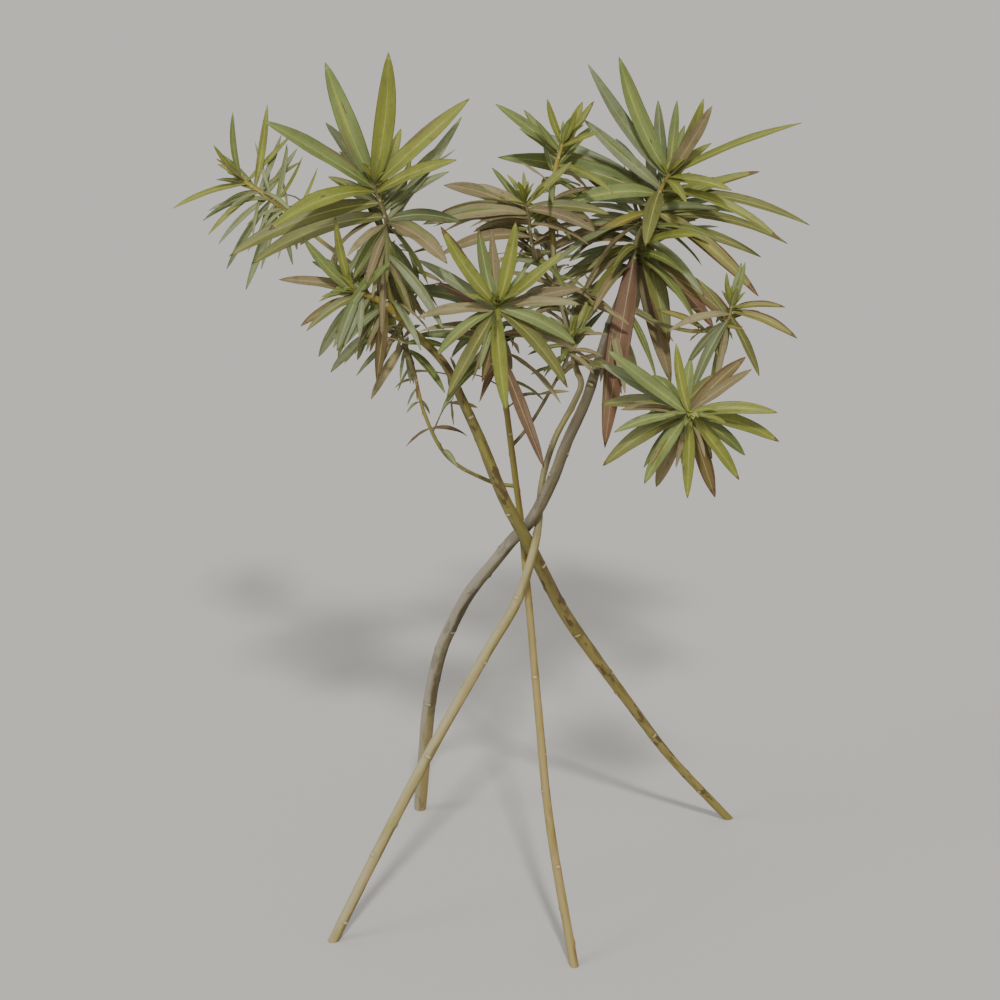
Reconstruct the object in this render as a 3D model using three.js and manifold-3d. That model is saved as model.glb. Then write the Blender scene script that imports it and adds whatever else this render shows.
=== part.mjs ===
// Honey spurge, a shrub of four bare canes that lean together, cross at half height and spread again, each
// carrying rosettes of long narrow leaves. Millimetres, +Z up. The origin is the middle of the level cut
// under the thickest cane, +X is to the right and +Y away from someone who stands in front of the plant.

import * as THREE from "three";
import Module from "manifold-3d";
import { mergeVertices } from "three/addons/utils/BufferGeometryUtils.js";

const wasm = await Module();
wasm.setup();

// Driving dimensions
const CLEARANCE = 0.3; // between two pieces that meet
const CANE_SIDES = 8;
const BOUGH_SIDES = 6;
const SHOOT_SIDES = 5;
const RING_STEP = 36; // between the rings of a cane's surface
const LEAF_CLEARANCE = 0.8; // added to a leaf's width and thickness when it looks for room
const LEAF_THICKNESS = 1 / 80; // of its length, at the midrib
const LEAF_FOLD = 0.28; // how far the edges stand above the midrib, as a share of half the width
const LEAF_STATIONS = [0, 0.3, 0.66, 1];
const ARCH = 0.08; // the rise of a leaf above its chord, as a share of its length, where it stands out level
const MOST_UPWARD = -0.4; // of that, for a leaf that stands up
const LIGHT = new THREE.Vector3(0, -0.67, 0.74); // the way that the blades turn their upper faces
const UP = new THREE.Vector3(0, 0, 1);
const GOLDEN_ANGLE = 137.5;
const OWN_SPACE = 20; // degrees that a filling leaf keeps from a leaf of the outline

// Leaf ages, from lime when young to rust when dead: width as a share of the leaf's length, and greatest
// width
const LIME = { width: 0.15, widest: 26 };
const GREEN = { width: 0.15, widest: 26 };
const GREY = { width: 0.145, widest: 24 };
const TAN = { width: 0.15, widest: 26 };
const RUST = { width: 0.155, widest: 32 };

// Canes and boughs: where each runs, and its radius at even steps from foot to tip. A bough names the limb
// that it springs from.
const LIMBS = {
  stem_back_left: {
    points: [[0, 0, 0], [7, -21, 90], [17, -46, 199], [34, -73, 290], [50, -93, 338], [76, -133, 406],
      [110, -176, 470], [135, -198.5, 512.7], [152, -212, 536.6], [164, -220.6, 556.8], [189, -214, 607],
      [210, -179, 651], [235, -145, 696], [253, -113, 743], [271, -83, 790], [291, -56, 833]],
    radii: [8.8, 9.6, 9.2, 8.4, 8.2, 7.2, 6],
  },
  stem_front_left: {
    points: [[-110, -393, 0], [-48, -355, 119], [24, -313, 250], [102, -274, 382], [141, -257, 447],
      [162, -248.2, 511.5], [170, -212.2, 538.9], [175, -194.4, 595.8], [192, -177, 651], [219, -161, 700],
      [228, -152, 723], [221, -144, 742], [208, -124, 800], [194, -106, 855], [189, -91, 907]],
    radii: [7.2, 7.4, 7.3, 7.1, 4.4, 4.1, 4],
  },
  stem_middle: {
    points: [[218, -461, 0], [185, -361, 168], [169, -286, 313], [157, -221, 433], [148, -190.7, 524.5],
      [140, -194, 592], [132, -208, 662], [125, -225, 726], [116, -256, 801]],
    radii: [6.3, 6, 5.4, 4.8, 4.3, 3.6],
  },
  stem_right: {
    points: [[453, -32, 0], [364, -66, 117], [304, -99, 216], [253, -133, 305], [206, -171, 394],
      [155, -225, 522], [124, -240.3, 589.5], [92, -247, 677], [68, -253, 736], [46, -261, 788],
      [16, -266, 825],
      [-11, -271, 856], [-25, -271, 886], [-32, -271, 926]],
    radii: [5.8, 6.2, 7.4, 8.8, 8.6, 7.6, 5.4, 3.6],
  },
  bough_far_left: {
    from: "stem_right",
    points: [[-26, -268, 889], [-50, -225, 896], [-78, -181, 902], [-124, -111, 913], [-155, -70, 927]],
    radii: [3, 2.8, 2.8],
  },
  bough_inner_left: {
    from: "stem_middle",
    points: [[139, -194, 590], [115, -201, 596], [91, -209, 609], [63, -217, 628], [42, -221, 650],
      [17, -221, 705],
      [4, -221, 764]],
    radii: [2.8, 2.6, 2.3],
  },
  bough_inner_right: {
    from: "stem_middle",
    points: [[133, -206, 652], [145, -201, 664], [159, -196, 681], [181, -191, 718], [196, -181, 743]],
    radii: [2.6, 2.4, 2.2],
  },
  bough_low_right: {
    from: "stem_back_left",
    points: [[253, -114, 742], [285, -221, 760], [319, -341, 779], [335, -415, 793]],
    radii: [4.2, 3.6, 3.4],
  },
  bough_right: {
    from: "stem_back_left",
    points: [[281, -70, 811], [309, -91, 801], [336, -111, 794], [375, -141, 794], [395, -155, 799]],
    radii: [3, 2.8, 2.6],
  },
};

// Leafy shoots. Each goes on from its limb's tip, or springs from the side of one. showing holds the
// leaves that make the outline: distance back from the shoot's tip, compass direction from +X, rise,
// length, age, and a width for a leaf that its age doesn't fit. fill holds the leaves that a rule deals
// out behind them: how many, how long, over which stretch back from the tip and in which compass
// directions.
const SHOOTS = {
  leaves_high_left: {
    from: "stem_right", seed: 11, width: 1, radii: [3.6, 3.2],
    points: [[-32, -271, 926], [-30, -271, 960], [-29, -271, 991], [-38, -271, 1018], [-46, -271, 1042]],
    fill: { count: 14, length: 100, back: [8, 85], toward: [15, 165] },
    showing: [
      [4, 0, 83, 176, LIME], [8, 162, 68, 173, GREEN], [12, 127, 30, 130, GREY], [10, 196, 35, 178, LIME],
      [14, 220, -6, 173, LIME], [30, 197, -15, 209, GREEN], [50, 167, -23, 200, GREEN],
      [6, 11, 41, 167, GREEN],
      [16, 330, 27, 136, LIME, 17], [55, 31, 47, 168, GREY, 14], [60, 231, -17, 81, TAN],
      [60, 204, -55, 84, GREEN],
      [66, 238, -53, 79, TAN], [58, 315, -15, 117, TAN, 25], [80, 26, -60, 91, GREY],
      [70, 78, -70, 118, GREEN],
      [30, 141, -31, 166, GREEN], [40, 70, 12, 119, GREY]],
  },
  leaves_far_left: {
    from: "bough_far_left", seed: 12, width: 0.62, radii: [2.8, 2.4],
    points: [[-155, -70, 927], [-167, -51, 933], [-199, -21, 945], [-239, 9, 964]],
    fill: { count: 10, length: 85, back: [8, 95], toward: [20, 160] },
    showing: [
      [2, 180, 85, 95, LIME], [8, 218, 51, 77, LIME], [10, 240, 36, 86, TAN], [16, 196, -14, 110, LIME],
      [28, 59, 72, 116, LIME], [36, 53, 54, 85, GREY], [50, 56, 35, 89, GREY], [40, 237, -3, 72, GREY],
      [36, 204, -35, 92, LIME], [55, 217, -31, 97, GREY], [60, 163, -57, 127, GREY], [74, 303, -65, 85, GREY],
      [70, 180, -70, 133, TAN]],
  },
  leaves_left: {
    from: "stem_right", seed: 13, width: 0.95, radii: [3.2, 2.6],
    points: [[-12, -271, 857], [-34, -281, 881], [-53, -286, 893], [-74, -291, 900]],
    fill: { count: 8, length: 80, back: [6, 50], toward: [40, 200] },
    showing: [
      [2, 180, 78, 104, LIME, 11], [4, 197, 50, 105, GREEN], [6, 135, 15, 88, GREY], [8, 326, 44, 73, LIME],
      [14, 180, 10, 110, TAN], [24, 193, -21, 98, TAN], [16, 209, -24, 91, GREEN], [18, 155, -54, 120, GREY],
      [20, 237, -44, 83, GREY], [24, 262, -49, 62, GREY], [50, 220, -81, 104, TAN]],
  },
  leaves_front: {
    from: "stem_middle", seed: 14, width: 1, radii: [3.4, 2.8],
    points: [[116, -256, 801], [114, -285, 850], [114, -321, 892]],
    fill: { count: 7, length: 85, back: [20, 70], toward: [40, 140] },
    showing: [
      [2, 180, 56, 129, LIME], [16, 121, 65, 110, GREEN], [18, 98, 62, 108, TAN], [3, 0, 78, 116, LIME],
      [4, 0, 41, 112, LIME], [20, 10, 13, 117, TAN], [14, 0, 4, 109, TAN], [8, 0, -26, 115, LIME],
      [8, 354, -49, 141, GREEN], [6, 301, -80, 139, LIME], [14, 208, -77, 98, TAN], [8, 189, -61, 136, GREEN],
      [10, 180, -40, 104, LIME], [14, 180, -6, 105, TAN], [20, 166, 23, 88, RUST], [22, 158, 6, 134, GREEN],
      [12, 174, 32, 122, GREEN], [104, 342, -68, 171, RUST, 19]],
  },
  leaves_high_right: {
    from: "stem_back_left", seed: 15, width: 1, radii: [5.2, 4.4, 3],
    points: [[291, -56, 833], [302, -41, 870], [310, -31, 899], [323, -26, 926], [335, -21, 952],
      [349, -21, 980]],
    fill: { count: 18, length: 110, back: [8, 140], toward: [20, 160] },
    showing: [
      [6, 180, 55, 193, GREEN, 21], [3, 180, 67, 180, LIME], [24, 190, 43, 150, GREY, 17],
      [16, 99, 64, 115, GREY],
      [2, 63, 77, 101, LIME], [4, 0, 67, 118, LIME], [8, 341, 60, 124, TAN], [8, 0, 23, 199, LIME, 15],
      [10, 325, 1, 105, LIME], [12, 285, -3, 93, LIME], [34, 205, 1, 141, LIME], [40, 180, 15, 225, GREEN],
      [36, 162, 22, 205, GREEN], [44, 171, 26, 143, GREEN], [60, 212, -17, 119, RUST, 16],
      [30, 259, -18, 128, LIME, 24],
      [55, 337, -34, 190, RUST], [34, 0, -12, 215, GREEN, 16], [28, 340, -17, 180, LIME, 15],
      [70, 8, -13, 205, GREEN, 15], [80, 0, -16, 170, GREEN, 15], [90, 298, -60, 161, GREEN],
      [105, 309, -68, 200, TAN], [118, 252, -60, 276, RUST, 30],
      [140, 214, -33, 128, TAN], [130, 339, -29, 185, TAN], [125, 10, -44, 160, RUST],
      [40, 124, 33, 115, GREY],
      [50, 93, 37, 112, GREY]],
  },
  leaves_back: {
    from: "stem_front_left", seed: 16, width: 1, radii: [4, 4.2, 3.4, 2.4],
    points: [[189, -91, 907], [187, -81, 960], [194, -71, 1006], [203, -66, 1037]],
    fill: { count: 10, length: 90, back: [8, 90], toward: [20, 160] },
    showing: [
      [12, 180, 36, 109, LIME], [2, 180, 71, 65, LIME], [2, 313, 62, 58, LIME], [4, 13, 53, 72, LIME],
      [8, 339, 26, 62, LIME], [14, 211, 52, 63, LIME], [20, 143, 22, 72, GREEN]],
  },
  leaves_low_right: {
    from: "bough_low_right", seed: 17, width: 1.05, radii: [3.4, 3],
    points: [[335, -415, 793], [346, -460, 801], [355, -511, 812]],
    fill: { count: 7, length: 85, back: [20, 80], toward: [40, 140] },
    showing: [
      [6, 165, 26, 128, GREEN], [4, 174, 38, 132, GREY], [10, 151, -5, 124, GREEN], [12, 180, 3, 85, TAN],
      [8, 180, -15, 97, LIME], [10, 169, -36, 133, GREEN], [8, 180, -60, 109, GREEN],
      [14, 132, -65, 128, TAN],
      [4, 264, -85, 110, LIME], [10, 16, -72, 123, TAN], [4, 0, -54, 109, LIME], [8, 15, -40, 99, GREEN],
      [8, 10, -21, 126, LIME], [4, 0, 1, 110, LIME], [12, 0, 37, 98, TAN], [12, 29, 36, 103, TAN],
      [4, 152, 77, 93, LIME]],
  },
  leaves_right: {
    from: "bough_right", seed: 18, width: 0.9, radii: [2.6, 2.4],
    points: [[395, -155, 799], [423, -171, 820], [428, -171, 840]],
    fill: { count: 8, length: 75, back: [4, 50], toward: [20, 160] },
    showing: [
      [8, 347, -19, 96, LIME], [6, 0, 3, 73, LIME], [2, 180, 81, 50, GREEN], [3, 48, 65, 64, LIME],
      [8, 38, 4, 48, GREY], [20, 224, -52, 115, GREY], [30, 202, -45, 75, GREY], [16, 156, -76, 99, GREEN],
      [14, 13, -64, 100, GREEN], [12, 193, -12, 90, GREY]],
  },
  leaves_inner_back: {
    from: "stem_front_left", seed: 19, width: 1, radii: [3, 2.8, 2.4],
    points: [[198, -110, 842], [183, -111, 860], [168, -111, 882], [160, -111, 913], [156, -111, 948],
      [150, -111, 969]],
    fill: { count: 8, length: 95, back: [4, 60], toward: [20, 160] },
    showing: [
      [20, 196, -1, 147, TAN], [4, 180, 63, 34, LIME], [3, 76, 50, 32, LIME], [10, 180, 27, 71, TAN],
      [14, 342, -13, 100, TAN], [12, 5, -6, 114, GREEN], [24, 152, 11, 133, TAN]],
  },
  leaves_inner_left: {
    from: "bough_inner_left", seed: 20, width: 0.9, radii: [2.3, 2.1],
    points: [[4, -221, 764], [-3, -221, 792], [-14, -221, 814], [-25, -221, 830]],
    fill: { count: 6, length: 70, back: [4, 50], toward: [0, 180] },
    showing: [
      [10, 243, -40, 59, TAN], [20, 128, -70, 38, GREY], [4, 161, -39, 118, GREY], [30, 204, -56, 88, TAN],
      [40, 310, -27, 88, GREEN]],
  },
  leaves_inner_right: {
    from: "bough_inner_right", seed: 21, width: 0.8, radii: [2.2, 2],
    points: [[196, -181, 743], [208, -176, 768], [215, -171, 799]],
    fill: { count: 5, length: 55, back: [2, 30], toward: [60, 240] },
    showing: [[4, 11, 1, 50, TAN], [20, 18, -37, 41, TAN]],
  },
};

// Young leaves that close the heart of each shoot
const BUD = { count: 3, lean: [8, 26], length: [22, 38] };

const barkMaterial = new THREE.MeshStandardMaterial({ color: 0xa8925c, roughness: 0.75, metalness: 0 });
const leafMaterial = new THREE.MeshStandardMaterial({ color: 0x7c8a45, roughness: 0.6, metalness: 0 });

const radians = THREE.MathUtils.degToRad;
const lerp = THREE.MathUtils.lerp;

// Random numbers from 0 to 1 that come out the same on every run
function seeded(seed) {
  let state = seed >>> 0;
  return () => {
    state = (state + 0x6d2b79f5) >>> 0;
    let mixed = Math.imul(state ^ (state >>> 15), state | 1);
    mixed ^= mixed + Math.imul(mixed ^ (mixed >>> 7), mixed | 61);
    return ((mixed ^ (mixed >>> 14)) >>> 0) / 4294967296;
  };
}

function curveThrough(points) {
  return new THREE.CatmullRomCurve3(points.map((point) => new THREE.Vector3(...point)), false, "centripetal");
}

// A value read from a list of values at even steps
function along(values, share) {
  const place = share * (values.length - 1);
  const step = Math.min(Math.floor(place), values.length - 2);
  return lerp(values[step], values[step + 1], place - step);
}

function direction(azimuth, elevation) {
  const flat = Math.cos(radians(elevation));
  return new THREE.Vector3(
    flat * Math.cos(radians(azimuth)), flat * Math.sin(radians(azimuth)), Math.sin(radians(elevation)));
}

function perpendicular(vector, axis) {
  return vector.clone().addScaledVector(axis, -vector.dot(axis)).normalize();
}

// A closed cylinder whose every vertex is moved to place(step, across, along its second side)
function swept(sides, steps, pointed, place) {
  const geometry = new THREE.CylinderGeometry(pointed ? 0 : 1, 1, 1, sides, steps);
  const position = geometry.getAttribute("position");
  for (let i = 0; i < position.count; i += 1) {
    const step = Math.round((position.getY(i) + 0.5) * steps);
    const spread = pointed && step < steps ? steps / (steps - step) : 1;
    const placed = place(step, position.getX(i) * spread, position.getZ(i) * spread);
    position.setXYZ(i, placed.x, placed.y, placed.z);
  }
  geometry.deleteAttribute("normal");
  geometry.deleteAttribute("uv");
  return mergeVertices(geometry, 1e-5);
}

// A round limb along a curve, its flats grown all round and past its tip. A cane's foot is cut level.
function tube(curve, radii, sides, { grown = 0, grounded = false } = {}) {
  const steps = Math.max(2, Math.round(curve.getLength() / RING_STEP));
  const frames = curve.computeFrenetFrames(steps, false);
  return swept(sides, steps, false, (step, across, through) => {
    const radius = along(radii, step / steps) + grown / Math.cos(Math.PI / sides);
    const point = curve.getPointAt(step / steps);
    point.addScaledVector(frames.binormals[step], across * radius);
    point.addScaledVector(frames.normals[step], through * radius);
    if (grounded && step === 0) {
      point.addScaledVector(frames.tangents[0], -point.z / frames.tangents[0].z);
    }
    if (step === steps) {
      point.addScaledVector(frames.tangents[steps], grown);
    }
    return point;
  });
}

// The width of a leaf at a share of its length: a narrow foot, widest before the middle, a sharp tip
function leafOutline(share) {
  return 0.1 * (1 - share) ** 3 + share ** 0.8 * (1 - share) / 0.29;
}

// One leaf blade: a lens-shaped section folded up along the midrib, carried along an arch from foot to tip
function leafBlade(foot, leaf, fatter = 0) {
  const chord = direction(leaf.azimuth, leaf.elevation);
  const rise = perpendicular(UP, chord);
  const tip = foot.clone().addScaledVector(chord, leaf.length);
  const crown = foot.clone().addScaledVector(chord, leaf.length * 0.45);
  crown.addScaledVector(rise, leaf.length * leaf.arch * 2);
  const arch = new THREE.QuadraticBezierCurve3(foot, crown, tip);
  const upper = perpendicular(LIGHT, chord).applyAxisAngle(chord, radians(leaf.roll));
  const sideways = chord.clone().cross(upper);
  const halfWidth = (leaf.width + fatter) / 2;
  const halfThickness = (leaf.length * LEAF_THICKNESS + fatter) / 2;
  return swept(4, LEAF_STATIONS.length - 1, true, (step, across, through) => {
    const share = LEAF_STATIONS[step];
    const spread = halfWidth * leafOutline(share);
    const point = arch.getPoint(share);
    point.addScaledVector(sideways, across * spread);
    const normal = sideways.clone().cross(arch.getTangent(share));
    const fold = Math.abs(across) * spread * LEAF_FOLD;
    const taper = step === LEAF_STATIONS.length - 1 ? 0 : 1;
    return point.addScaledVector(normal, fold + through * halfThickness * taper);
  });
}

function solidOf(geometry) {
  const mesh = new wasm.Mesh({
    numProp: 3,
    vertProperties: new Float32Array(geometry.getAttribute("position").array),
    triVerts: new Uint32Array(geometry.getIndex().array),
  });
  return new wasm.Manifold(mesh);
}

function geometryOf(solid) {
  const mesh = solid.getMesh();
  const geometry = new THREE.BufferGeometry();
  geometry.setAttribute("position", new THREE.BufferAttribute(mesh.vertProperties, 3));
  geometry.setIndex(new THREE.BufferAttribute(mesh.triVerts, 1));
  geometry.computeVertexNormals();
  return geometry;
}

function boxesMeet(a, b) {
  return [0, 1, 2].every((axis) => a.min[axis] < b.max[axis] && b.min[axis] < a.max[axis]);
}

function touches(solid, others) {
  const box = solid.boundingBox();
  return others.some((other) => boxesMeet(box, other.boundingBox()) && !solid.intersect(other).isEmpty());
}

// A leaf that stands out level arches over, one that hangs is straight, and one that stands up bends upwards
function archAt(elevation) {
  return ARCH * Math.max(Math.cos(radians(1.6 * (elevation + 15))), MOST_UPWARD);
}

// The leaves of a shoot in the order that they are dealt: outline, filling, heart
function leavesOf(shoot, curve) {
  const random = seeded(shoot.seed);
  const jitter = (range) => (random() * 2 - 1) * range;
  const outline = shoot.showing.map(([back, azimuth, elevation, length, age, width]) => ({
    back, azimuth, elevation, length,
    width: (width ?? Math.min(age.widest, length * age.width * shoot.width)) * (1 + jitter(0.1)),
    arch: archAt(elevation) + jitter(0.02),
    roll: jitter(16),
  }));
  const filling = [];
  for (let k = 0; k < shoot.fill.count; k += 1) {
    const age = (k + 0.5) / shoot.fill.count;
    const turn = (k * GOLDEN_ANGLE % 360) / 360;
    const length = shoot.fill.length * (1 + jitter(0.15));
    const elevation = lerp(58, -48, age) + jitter(12);
    const leaf = {
      back: lerp(...shoot.fill.back, age),
      azimuth: lerp(...shoot.fill.toward, turn) + jitter(8),
      elevation,
      length,
      width: length * GREEN.width * shoot.width * (1 + jitter(0.1)),
      arch: archAt(elevation) + jitter(0.03),
      roll: jitter(25),
    };
    const heading = direction(leaf.azimuth, leaf.elevation);
    const crowded = outline.some((other) =>
      heading.angleTo(direction(other.azimuth, other.elevation)) < radians(OWN_SPACE));
    if (!crowded) {
      filling.push(leaf);
    }
  }
  const tangent = curve.getTangentAt(1);
  const heart = [];
  for (let k = 0; k < BUD.count; k += 1) {
    const lean = radians(lerp(...BUD.lean, k / (BUD.count - 1)));
    const side = perpendicular(direction(k * GOLDEN_ANGLE + jitter(20), 0), tangent);
    const heading = tangent.clone().multiplyScalar(Math.cos(lean)).addScaledVector(side, Math.sin(lean));
    const length = lerp(...BUD.length, k / (BUD.count - 1));
    heart.push({
      back: 2,
      azimuth: THREE.MathUtils.radToDeg(Math.atan2(heading.y, heading.x)),
      elevation: THREE.MathUtils.radToDeg(Math.asin(heading.z)),
      length,
      width: length * GREEN.width * 1.3,
      arch: 0.05,
      roll: jitter(25),
    });
  }
  return [...outline, ...filling, ...heart];
}

// The point of a shoot's midline that lies a distance back from its tip
function footOf(curve, back) {
  return curve.getPointAt(Math.max(0, 1 - back / curve.getLength()));
}

const group = new THREE.Group();

function addPiece(name, geometry, material) {
  const mesh = new THREE.Mesh(geometry, material);
  mesh.name = name;
  group.add(mesh);
}

// Canes and boughs: each solid, and a copy grown by the clearance that cuts what springs from it
const limbs = {};
for (const [name, limb] of Object.entries(LIMBS)) {
  const curve = curveThrough(limb.points);
  const sides = limb.from ? BOUGH_SIDES : CANE_SIDES;
  const grounded = !limb.from;
  let solid = solidOf(tube(curve, limb.radii, sides, { grounded }));
  if (limb.from) {
    solid = solid.subtract(limbs[limb.from].grown);
  }
  const grown = solidOf(tube(curve, limb.radii, sides, { grounded, grown: CLEARANCE }));
  limbs[name] = { curve, solid, grown };
  addPiece(name, geometryOf(solid), barkMaterial);
}

// Leafy shoots: a stem and every leaf that finds room, fused into one closed body
const built = Object.values(limbs).map((limb) => limb.grown);
for (const [name, shoot] of Object.entries(SHOOTS)) {
  const curve = curveThrough(shoot.points);
  const stem = solidOf(tube(curve, shoot.radii, SHOOT_SIDES)).subtract(limbs[shoot.from].grown);
  const blades = [];
  for (const leaf of leavesOf(shoot, curve)) {
    const foot = footOf(curve, leaf.back);
    if (!touches(solidOf(leafBlade(foot, leaf, LEAF_CLEARANCE)), built)) {
      blades.push(solidOf(leafBlade(foot, leaf)));
    }
  }
  const fused = wasm.Manifold.union([stem, ...blades]).simplify(0.02);
  const bodies = fused.decompose().sort((a, b) => b.volume() - a.volume());
  built.push(bodies[0]);
  addPiece(name, geometryOf(bodies[0]), leafMaterial);
}

export default group;
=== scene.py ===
"""Honey spurge: bark over the canes and boughs, and leaves over the masses of foliage.

Metres, +Z up. The origin is the middle of the level cut under the thickest cane, +X is to the right and +Y
away from someone who stands in front of the plant. The canes, the shoots and the rule that deals out the
leaves are those of the part, whose tables are in millimetres. A few entries differ: the leaves' ages are
told apart more finely, four shoots are thicker, two leaves of leaves_left spring nearer its tip, and one
yellow leaf of leaves_high_right is narrower.
"""

import functools
import math
from dataclasses import dataclass, replace

import bpy
import numpy as np
from bpy.props import FloatProperty, FloatVectorProperty, IntProperty, PointerProperty
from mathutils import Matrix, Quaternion, Vector


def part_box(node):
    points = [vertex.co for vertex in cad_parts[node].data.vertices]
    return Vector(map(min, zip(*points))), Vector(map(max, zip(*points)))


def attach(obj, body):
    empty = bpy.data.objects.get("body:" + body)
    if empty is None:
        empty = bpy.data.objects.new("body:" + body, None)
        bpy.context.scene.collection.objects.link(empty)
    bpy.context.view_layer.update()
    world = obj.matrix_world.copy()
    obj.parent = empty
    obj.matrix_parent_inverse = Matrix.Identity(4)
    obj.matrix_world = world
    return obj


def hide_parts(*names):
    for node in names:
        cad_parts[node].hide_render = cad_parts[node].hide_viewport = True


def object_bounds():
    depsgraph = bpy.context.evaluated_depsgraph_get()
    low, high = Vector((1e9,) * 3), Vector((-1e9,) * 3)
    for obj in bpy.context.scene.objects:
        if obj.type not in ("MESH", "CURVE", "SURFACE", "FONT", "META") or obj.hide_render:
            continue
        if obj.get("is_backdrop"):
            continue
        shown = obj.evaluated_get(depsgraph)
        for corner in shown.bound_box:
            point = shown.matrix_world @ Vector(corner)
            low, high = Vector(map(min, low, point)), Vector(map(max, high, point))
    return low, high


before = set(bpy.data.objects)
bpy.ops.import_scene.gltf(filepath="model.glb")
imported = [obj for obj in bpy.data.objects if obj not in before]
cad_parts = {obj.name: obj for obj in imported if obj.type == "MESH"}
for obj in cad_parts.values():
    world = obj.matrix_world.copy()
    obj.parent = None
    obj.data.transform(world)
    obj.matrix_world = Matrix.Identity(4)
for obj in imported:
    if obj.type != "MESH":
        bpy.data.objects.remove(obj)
PART_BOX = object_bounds()

bl_info = {
    "name": "Honey Spurge",
    "version": (1, 0, 0),
    "blender": (4, 5, 0),
    "location": "3D View > Sidebar > Spurge",
    "description": "Bark, twigs and leaves of a honey spurge, over the solids of its part",
    "category": "Add Mesh",
}

MM = 0.001
UP = Vector((0, 0, 1))
LIGHT = Vector((0, -0.67, 0.74))  # the way that the blades turn their upper faces

# Canes and boughs: where each runs, and its radius at even steps from foot to tip. A bough names the limb
# that it springs from.
LIMBS = {
    "stem_back_left": {
        "points": [
            (0, 0, 0), (7, -21, 90), (17, -46, 199), (34, -73, 290), (50, -93, 338), (76, -133, 406),
            (110, -176, 470), (135, -198.5, 512.7), (152, -212, 536.6), (164, -220.6, 556.8),
            (189, -214, 607), (210, -179, 651), (235, -145, 696), (253, -113, 743), (271, -83, 790),
            (291, -56, 833),
        ],
        "radii": [8.8, 9.6, 9.2, 8.4, 8.2, 7.2, 6],
    },
    "stem_front_left": {
        "points": [
            (-110, -393, 0), (-48, -355, 119), (24, -313, 250), (102, -274, 382), (141, -257, 447),
            (162, -248.2, 511.5), (170, -212.2, 538.9), (175, -194.4, 595.8), (192, -177, 651),
            (219, -161, 700), (228, -152, 723), (221, -144, 742), (208, -124, 800), (194, -106, 855),
            (189, -91, 907),
        ],
        "radii": [7.2, 7.4, 7.3, 7.1, 4.4, 4.1, 4],
    },
    "stem_middle": {
        "points": [
            (218, -461, 0), (185, -361, 168), (169, -286, 313), (157, -221, 433), (148, -190.7, 524.5),
            (140, -194, 592), (132, -208, 662), (125, -225, 726), (116, -256, 801),
        ],
        "radii": [6.3, 6, 5.4, 4.8, 4.3, 3.6],
    },
    "stem_right": {
        "points": [
            (453, -32, 0), (364, -66, 117), (304, -99, 216), (253, -133, 305), (206, -171, 394),
            (155, -225, 522), (124, -240.3, 589.5), (92, -247, 677), (68, -253, 736), (46, -261, 788),
            (16, -266, 825), (-11, -271, 856), (-25, -271, 886), (-32, -271, 926),
        ],
        "radii": [5.8, 6.2, 7.4, 8.8, 8.6, 7.6, 5.4, 3.6],
    },
    "bough_far_left": {
        "from": "stem_right",
        "points": [
            (-26, -268, 889), (-50, -225, 896), (-78, -181, 902), (-124, -111, 913), (-155, -70, 927),
        ],
        "radii": [3, 2.8, 2.8],
    },
    "bough_inner_left": {
        "from": "stem_middle",
        "points": [
            (139, -194, 590), (115, -201, 596), (91, -209, 609), (63, -217, 628), (42, -221, 650),
            (17, -221, 705), (4, -221, 764),
        ],
        "radii": [2.8, 2.6, 2.3],
    },
    "bough_inner_right": {
        "from": "stem_middle",
        "points": [
            (133, -206, 652), (145, -201, 664), (159, -196, 681), (181, -191, 718), (196, -181, 743),
        ],
        "radii": [2.6, 2.4, 2.2],
    },
    "bough_low_right": {
        "from": "stem_back_left",
        "points": [
            (253, -114, 742), (285, -221, 760), (319, -341, 779), (335, -415, 793),
        ],
        "radii": [4.2, 3.6, 3.4],
    },
    "bough_right": {
        "from": "stem_back_left",
        "points": [
            (281, -70, 811), (309, -91, 801), (336, -111, 794), (375, -141, 794), (395, -155, 799),
        ],
        "radii": [3, 2.8, 2.6],
    },
}

# Leaf ages, from bright when young to rust when dead. A leaf of autumn turns yellow from its middle.
BRIGHT = "bright"
LIME = "lime"
SOFT = "soft"
GREEN = "green"
OLIVE = "olive"
GREY = "grey"
SILVER = "silver"
AUTUMN = "autumn"
AMBER = "amber"
TAN = "tan"
RUST = "rust"

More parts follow.
